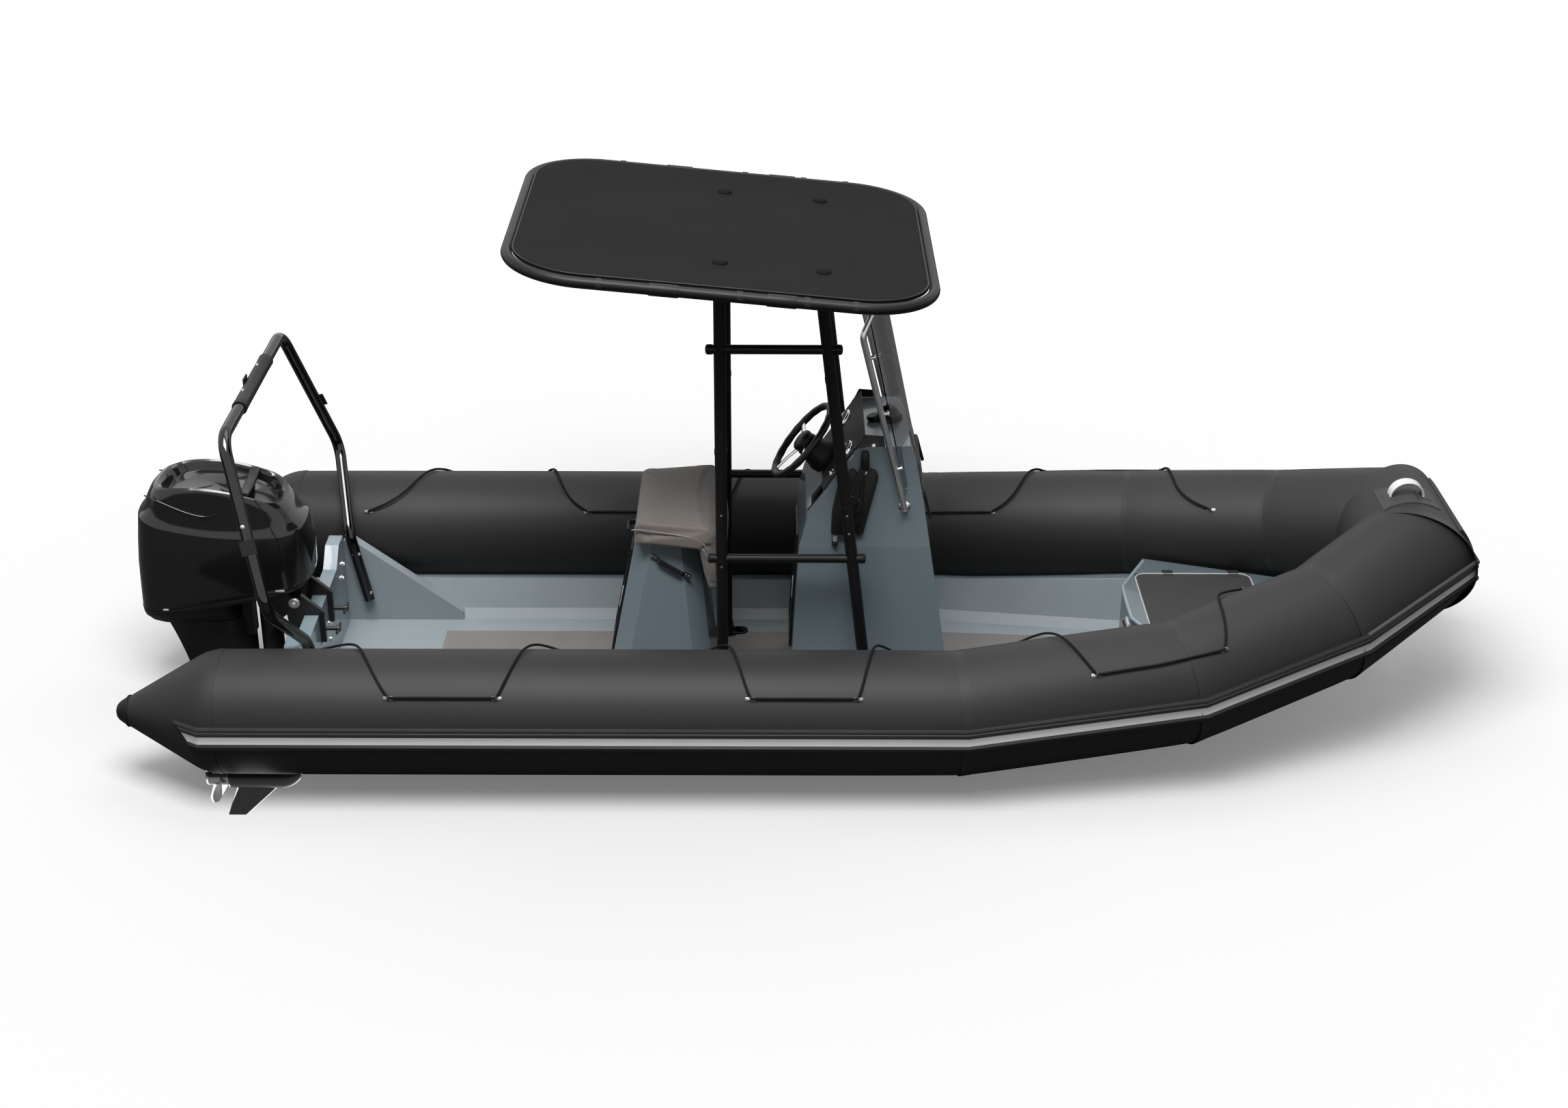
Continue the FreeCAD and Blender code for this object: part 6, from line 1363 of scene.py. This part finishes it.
# frames and latches of the hatches in the seat box and the console, and the straps' screws
SEAT_FOOT, SEAT_HEAD = Vector((-0.88, 0, -0.02)), Vector((-0.73, 0, 0.74))
SEAT_UP = (SEAT_HEAD - SEAT_FOOT).normalized()
SEAT_OUT = Vector((-SEAT_UP.z, 0, SEAT_UP.x))
CON_FOOT, CON_KNEE = Vector((-0.09, 0, -0.02)), Vector((-0.05, 0, 0.76))
CON_UP = (CON_KNEE - CON_FOOT).normalized()
CON_OUT = Vector((-CON_UP.z, 0, CON_UP.x))


def on_face(foot, head, out, z, y, lift):
    share = (z - foot.z) / (head.z - foot.z)
    return foot.lerp(head, share) + Vector((0, y, 0)) + out * lift


def hatch_frame(name, foot, head, out, low, high, half):
    """Rounded rubber frame round a hatch opening."""
    outline = []
    for y, z in ((-half, low), (half, low), (half, high), (-half, high)):
        outline.append(on_face(foot, head, out, z, y, 0.003))
    bars = []
    for a, b in zip(outline, outline[1:] + outline[:1]):
        bars.append(add_rod("frame_bar", a, b, 0.007, 12))
        bars.append(add_ring("frame_corner", a, out, 0.0001, 0.0069, 12, 12))
    return join(name, bars)


for name, foot, head, out, low, high in (("console", CON_FOOT, CON_KNEE, CON_OUT, 0.225, 0.725),
        ("seat", SEAT_FOOT, SEAT_HEAD, SEAT_OUT, 0.195, 0.655)):
    frame_piece = hatch_frame(name + "_hatch_frame", foot, head, out, low - 0.012, high + 0.012, 0.142)
    finish(frame_piece, PIPING_BLACK)
    latch = add_box(name + "_latch", (0, 0, 0.004), (0.09, 0.03, 0.008), 0.002)
    spot = facing(on_face(foot, head, out, (low + high) / 2, -0.102, 0.0042), out, (0, 0, 1))
    finish(copies(name + "_latch", latch, [spot]), HANDLE_PALE, name + "_door")

STRAP_ENDS = [(-0.661, 0.691), (-0.501, 0.596)]
strap_screws = []
for side in (-1, 1):
    for x, z in STRAP_ENDS:
        aft = STRAP_ENDS[0][0] == x
        for step in (0.006, 0.02):
            shift = step if aft else -step
            px, pz = x + shift * 0.86, z - shift * 0.51
            y = 0.31 + (0.24 - 0.31) * (pz + 0.02) / 0.76
            strap_screws.append(facing((px, side * (y + 0.008), pz), (0, side, 0.092)))
finish(copies("strap_screws", make_screw(), strap_screws), EYELET_METAL)


# Bow: wear pad across the nose, reinforcing patch and a half-round carrying handle
BOW_X, BOW_Z, BOW_RADIUS = 2.505, 0.64, 0.25


def on_bow(degrees, y, lift):
    turn = math.radians(degrees)
    away = BOW_RADIUS + lift
    return Vector((BOW_X + math.cos(turn) * away, y, BOW_Z + math.sin(turn) * away))


def bow_sheet(name, low, high, half, middle, lift, thick, bow_out=0.0):
    """Rubber sheet that hugs the front tube between two angles, its long edges bowed if asked."""
    rings = []
    for step in range(13):
        share = step / 12
        angle = low + (high - low) * share
        wide = half + bow_out * math.sin(math.pi * share)
        lips = [(-wide, 0.0), (-wide + 0.003, thick), (wide - 0.003, thick), (wide, 0.0)]
        rings.append([on_bow(angle, middle + y, lift + up) for y, up in lips])
    return extruded_rings(name, rings)


pad = bow_sheet("nose_pad", 12, 46, 0.262, 0.0, 0.001, 0.01, -0.02)
finish(pad, PATCH_RUBBER, angle=30)
patch = bow_sheet("bow_patch", 62, 118, 0.095, -0.05, 0.0015, 0.003, -0.012)
finish(patch, PATCH_RUBBER, angle=30, stands_for=("bow_handle",))
handle_rings = []
for step in range(25):
    angle = math.pi * step / 24
    out = Vector((math.cos(angle), 0, math.sin(angle) * 0.92))
    centre = Vector((BOW_X - 0.006, -0.05, BOW_Z + BOW_RADIUS - 0.002)) + out * 0.069
    normal = Vector((math.cos(angle), 0, math.sin(angle)))
    handle_rings.append([centre + normal * (0.0045 * v) + Vector((0, 0.026 * u, 0)) for u,
        v in ((-1, -0.3), (-0.85, -1), (-0.5, -0.7), (0.5, -0.7), (0.85, -1), (1, -0.3), (1, 0.5), (0.8, 1),
        (0.45, 0.6), (-0.45, 0.6), (-0.8, 1), (-1, 0.5))])
finish(extruded_rings("bow_grip", handle_rings), HANDLE_PALE, angle=40)
pads = [bow_sheet("grip_foot", low, low + 14, 0.036, -0.05, 0.0045, 0.003) for low in (68, 99)]
finish(join("grip_feet", pads), PATCH_RUBBER, angle=30)

# Locker: pale gasket round the lid, riser lip, and a drop latch on the riser
LID_Z = 0.3525
frame_line = [Vector((x, y, LID_Z)) for x, y in rounded_rectangle(1.441, 1.949, 0.269, 0.048, 6)]
gasket_rings = []
for spot, ahead in zip(frame_line, frame_line[1:] + frame_line[:1]):
    along = (ahead - spot).normalized()
    side = along.cross(Vector((0, 0, 1)))
    gasket_rings.append([spot + side * (0.0035 * math.cos(a)) + Vector((0, 0, 0.003 * math.sin(a)))
        for a in round_angles(8)])
finish(extruded_rings("lid_gasket", gasket_rings + [gasket_rings[0]], False, False), SWITCH_GREY)
lip = bent_bar("riser_lip", [(1.5, 0.398, 0.348), (1.38, 0.165, 0.348), (1.3725, 0.13, 0.348), (1.3725, -0.13, 0.348),
    (1.38, -0.165, 0.348), (1.5, -0.398, 0.348)], 0.0085, rounding=3)
finish(lip, GELCOAT)
latch_dish = add_box("latch_dish", (1.372, -0.06, 0.27), (0.01, 0.07, 0.05), 0.004)
finish(latch_dish, HANDLE_PALE)
latch_bar = bent_bar("latch_bar", [(1.366, -0.088, 0.255), (1.355, -0.088, 0.285), (1.355, -0.032, 0.285),
    (1.366, -0.032, 0.255)], 0.005)
finish(latch_bar, BLACK_PLASTIC)


# Light arch: crossbar sleeve with its collars, and the bolts of sleeve, sides and feet
ARCH_X, ARCH_Z, ARCH_R = -2.3, 1.355, 0.024
sleeve = revolved("arch_sleeve", [(-0.255, ARCH_R), (-0.255, 0.029), (-0.24, 0.03), (-0.225, 0.03), (-0.22, 0.0292),
    (0.22, 0.0292), (0.225, 0.03), (0.24, 0.03), (0.255, 0.029), (0.255, ARCH_R)], (ARCH_X, 0.0, ARCH_Z), (0, 1, 0),
    40)
finish(sleeve, BLACK_TUBE, angle=30)
collars = [add_ring("collar", (ARCH_X, y, ARCH_Z), (0, 1, 0), 0.0265, 0.0042, 40, 10) for y in (-0.258, 0.258)]
finish(join("arch_collars", collars), PIPING_BLACK)


def make_dome_bolt():
    return turned("dome_bolt", [(0, 0), (0, 8.5), (1.5, 8.5), (2, 6.5), (5, 5.8), (6.8, 3.5), (7.2, 0)], sides=20)


arch_bolts = []
for y in (-0.14, 0.14):
    way = Vector((-0.35, 0, 0.94)).normalized()
    arch_bolts.append(facing(Vector((ARCH_X, y, ARCH_Z)) + way * 0.029, way))
KNEE, TOP = Vector((-2.14, 0.82, 0.72)), Vector((-2.3, 0.573, 1.355))
for side in (-1, 1):
    out = Vector((0, side * 0.93, 0.36))
    middle = Vector(((KNEE.x + TOP.x) / 2, side * (KNEE.y + TOP.y) / 2, (KNEE.z + TOP.z) / 2))
    arch_bolts.append(facing(middle + out.normalized() * 0.03, out))
    for z in (0.325, 0.13):
        x = -2.0 - 0.066 * (z - 0.09) / 0.335
        way = Vector((0.8, -side * 0.6, 0.05)).normalized()
        arch_bolts.append(facing(Vector((x, side * 0.508, z)) + way * 0.0235, way))
finish(copies("arch_bolts", make_dome_bolt(), arch_bolts), STAINLESS)
ear_bolts = [facing((TRANSOM_X, side * y, z), (1, 0, 0)) for side in (-1, 1) for y, z in ((0.47, 0.29), (0.43, 0.24))]
finish(copies("ear_bolts", make_hex_bolt(), ear_bolts), STAINLESS)


# Camera and light
def place_camera():
    camera = bpy.data.objects.new("photo_camera", bpy.data.cameras.new("photo_camera"))
    bpy.context.collection.objects.link(camera)
    az, el, roll = CAMERA_AZIMUTH, CAMERA_ELEVATION, CAMERA_ROLL
    back = Vector((math.sin(az) * math.cos(el), -math.cos(az) * math.cos(el), math.sin(el)))
    right = Vector((math.cos(az), math.sin(az), 0))
    up = back.cross(right)
    level = right * math.cos(roll) + up * math.sin(roll)
    upright = up * math.cos(roll) - right * math.sin(roll)
    turn = Matrix((level, upright, back)).transposed().to_4x4()
    camera.matrix_world = Matrix.Translation(CAMERA_TARGET + back * CAMERA_DISTANCE) @ turn
    camera.data.lens = CAMERA_LENS
    camera.data.sensor_width = 36.0
    camera.data.clip_end = 100.0
    bpy.context.scene.camera = camera


def place_lamp(name, place, aim, size, power):
    lamp = bpy.data.lights.new(name, "AREA")
    lamp.shape = "RECTANGLE"
    lamp.size, lamp.size_y = size
    lamp.energy = power
    holder = bpy.data.objects.new(name, lamp)
    bpy.context.collection.objects.link(holder)
    holder.matrix_world = Matrix.Translation(Vector(place)) @ turn_to(Vector(place) - Vector(aim))


# Lamps, the soft light from all round, and the white that the camera and reflections see
SOFT_LIGHT = 0.2
WHITE_GROUND = 1.0
LAMPS = (("key", (-1.2, -3.0, 8.6), (0.0, 0.0, 0.4), (6.0, 4.5), 1500),
    ("top", (0.8, 2.6, 8.0), (0.0, 0.0, 0.5), (6.0, 4.0), 200))


def white_world():
    world = bpy.data.worlds.new("studio")
    bpy.context.scene.world = world
    world.use_nodes = True
    tree = world.node_tree
    tree.nodes.clear()
    soft, white = (add_node(tree, "Background", Color=(1, 1, 1, 1), Strength=strength).outputs["Background"]
        for strength in (SOFT_LIGHT, WHITE_GROUND))
    path = add_node(tree, "LightPath").outputs
    seen = math_node(tree, "MAXIMUM", path["Is Camera Ray"], path["Is Transmission Ray"])
    seen = math_node(tree, "MAXIMUM", seen, path["Is Glossy Ray"])
    choose = add_node(tree, "MixShader", Fac=seen)
    tree.links.new(soft, choose.inputs[1])
    tree.links.new(white, choose.inputs[2])
    add_node(tree, "OutputWorld", Surface=choose.outputs["Shader"])


# The floor is cut out where the hull's sides stand, because the cockpit sole lies a little below the waterline
LOWER_UNIT = ("engine_leg", "gearcase", "propeller")
FLOOR_TONE = 0.05
FLOOR_GLOW = 0.03
BEHIND_TUBE = -0.7
COLUMN = 0.01
EDGE_STEP = 0.006
FLOOR_HOLE = [(-2.12, 0.6), (0.59, 0.62), (1.0, 0.58), (1.5, 0.5), (1.75, 0.3), (1.85, 0.0)]


def seen_below_floor(nodes):
    """Outline on the floor, column by column, of what the camera sees of these nodes below it."""
    eye = bpy.context.scene.camera.matrix_world.translation
    low, high = {}, {}
    for name in nodes:
        obj = bpy.data.objects[name]
        places = [obj.matrix_world @ vert.co for vert in obj.data.vertices]
        for edge in obj.data.edges:
            start, end = (places[i] for i in edge.vertices)
            if min(start.z, end.z) >= 0:
                continue
            steps = max(1, math.ceil((end - start).length / EDGE_STEP))
            for k in range(steps + 1):
                place = start.lerp(end, k / steps)
                if place.z < 0:
                    hit = eye + (place - eye) * (eye.z / (eye.z - place.z))
                    column = round(hit.x / COLUMN)
                    low[column] = min(low.get(column, 9.0), hit.y)
                    high[column] = max(high.get(column, -9.0), hit.y)
    columns = sorted(c for c in low if low[c] < BEHIND_TUBE - 0.002)
    return [(c * COLUMN, low[c]) for c in columns] + [(c * COLUMN, min(high[c], BEHIND_TUBE))
        for c in reversed(columns)]


def lay_floor():
    """Floor at the waterline that keeps only the boat's shadow, open where the motor dips below it."""
    deselect()
    bpy.ops.mesh.primitive_plane_add(size=60.0)
    floor = bpy.context.object
    floor.name = "studio_floor"
    inner = FLOOR_HOLE + [(x, -y) for x, y in reversed(FLOOR_HOLE[:-1])]
    bpy.ops.object.mode_set(mode="EDIT")
    bpy.ops.mesh.select_all(action="SELECT")
    bpy.ops.mesh.delete(type="ONLY_FACE")
    grid = bmesh.from_edit_mesh(floor.data)
    for outline in (inner, seen_below_floor(LOWER_UNIT)):
        if len(outline) < 6:
            continue
        verts = [grid.verts.new((x, y, 0.0)) for x, y in outline]
        for a, b in zip(verts, verts[1:] + verts[:1]):
            grid.edges.new((a, b))
    bmesh.update_edit_mesh(floor.data)
    bpy.ops.mesh.select_all(action="SELECT")
    bpy.ops.mesh.fill(use_beauty=True)
    bpy.ops.object.mode_set(mode="OBJECT")
    floor.is_shadow_catcher = True
    material, tree, shader = new_material("studio_floor")
    camera_ray = add_node(tree, "LightPath").outputs["Is Camera Ray"]
    feed(tree, shader, Base_Color=(*[FLOOR_TONE] * 3, 1), Roughness=0.9, Emission_Color=(1, 1, 1, 1),
        Emission_Strength=math_node(tree, "MULTIPLY", camera_ray, FLOOR_GLOW))
    floor.data.materials.append(material)


place_camera()
white_world()
for lamp in LAMPS:
    place_lamp(*lamp)
lay_floor()
bpy.context.scene.view_settings.view_transform = "Standard"
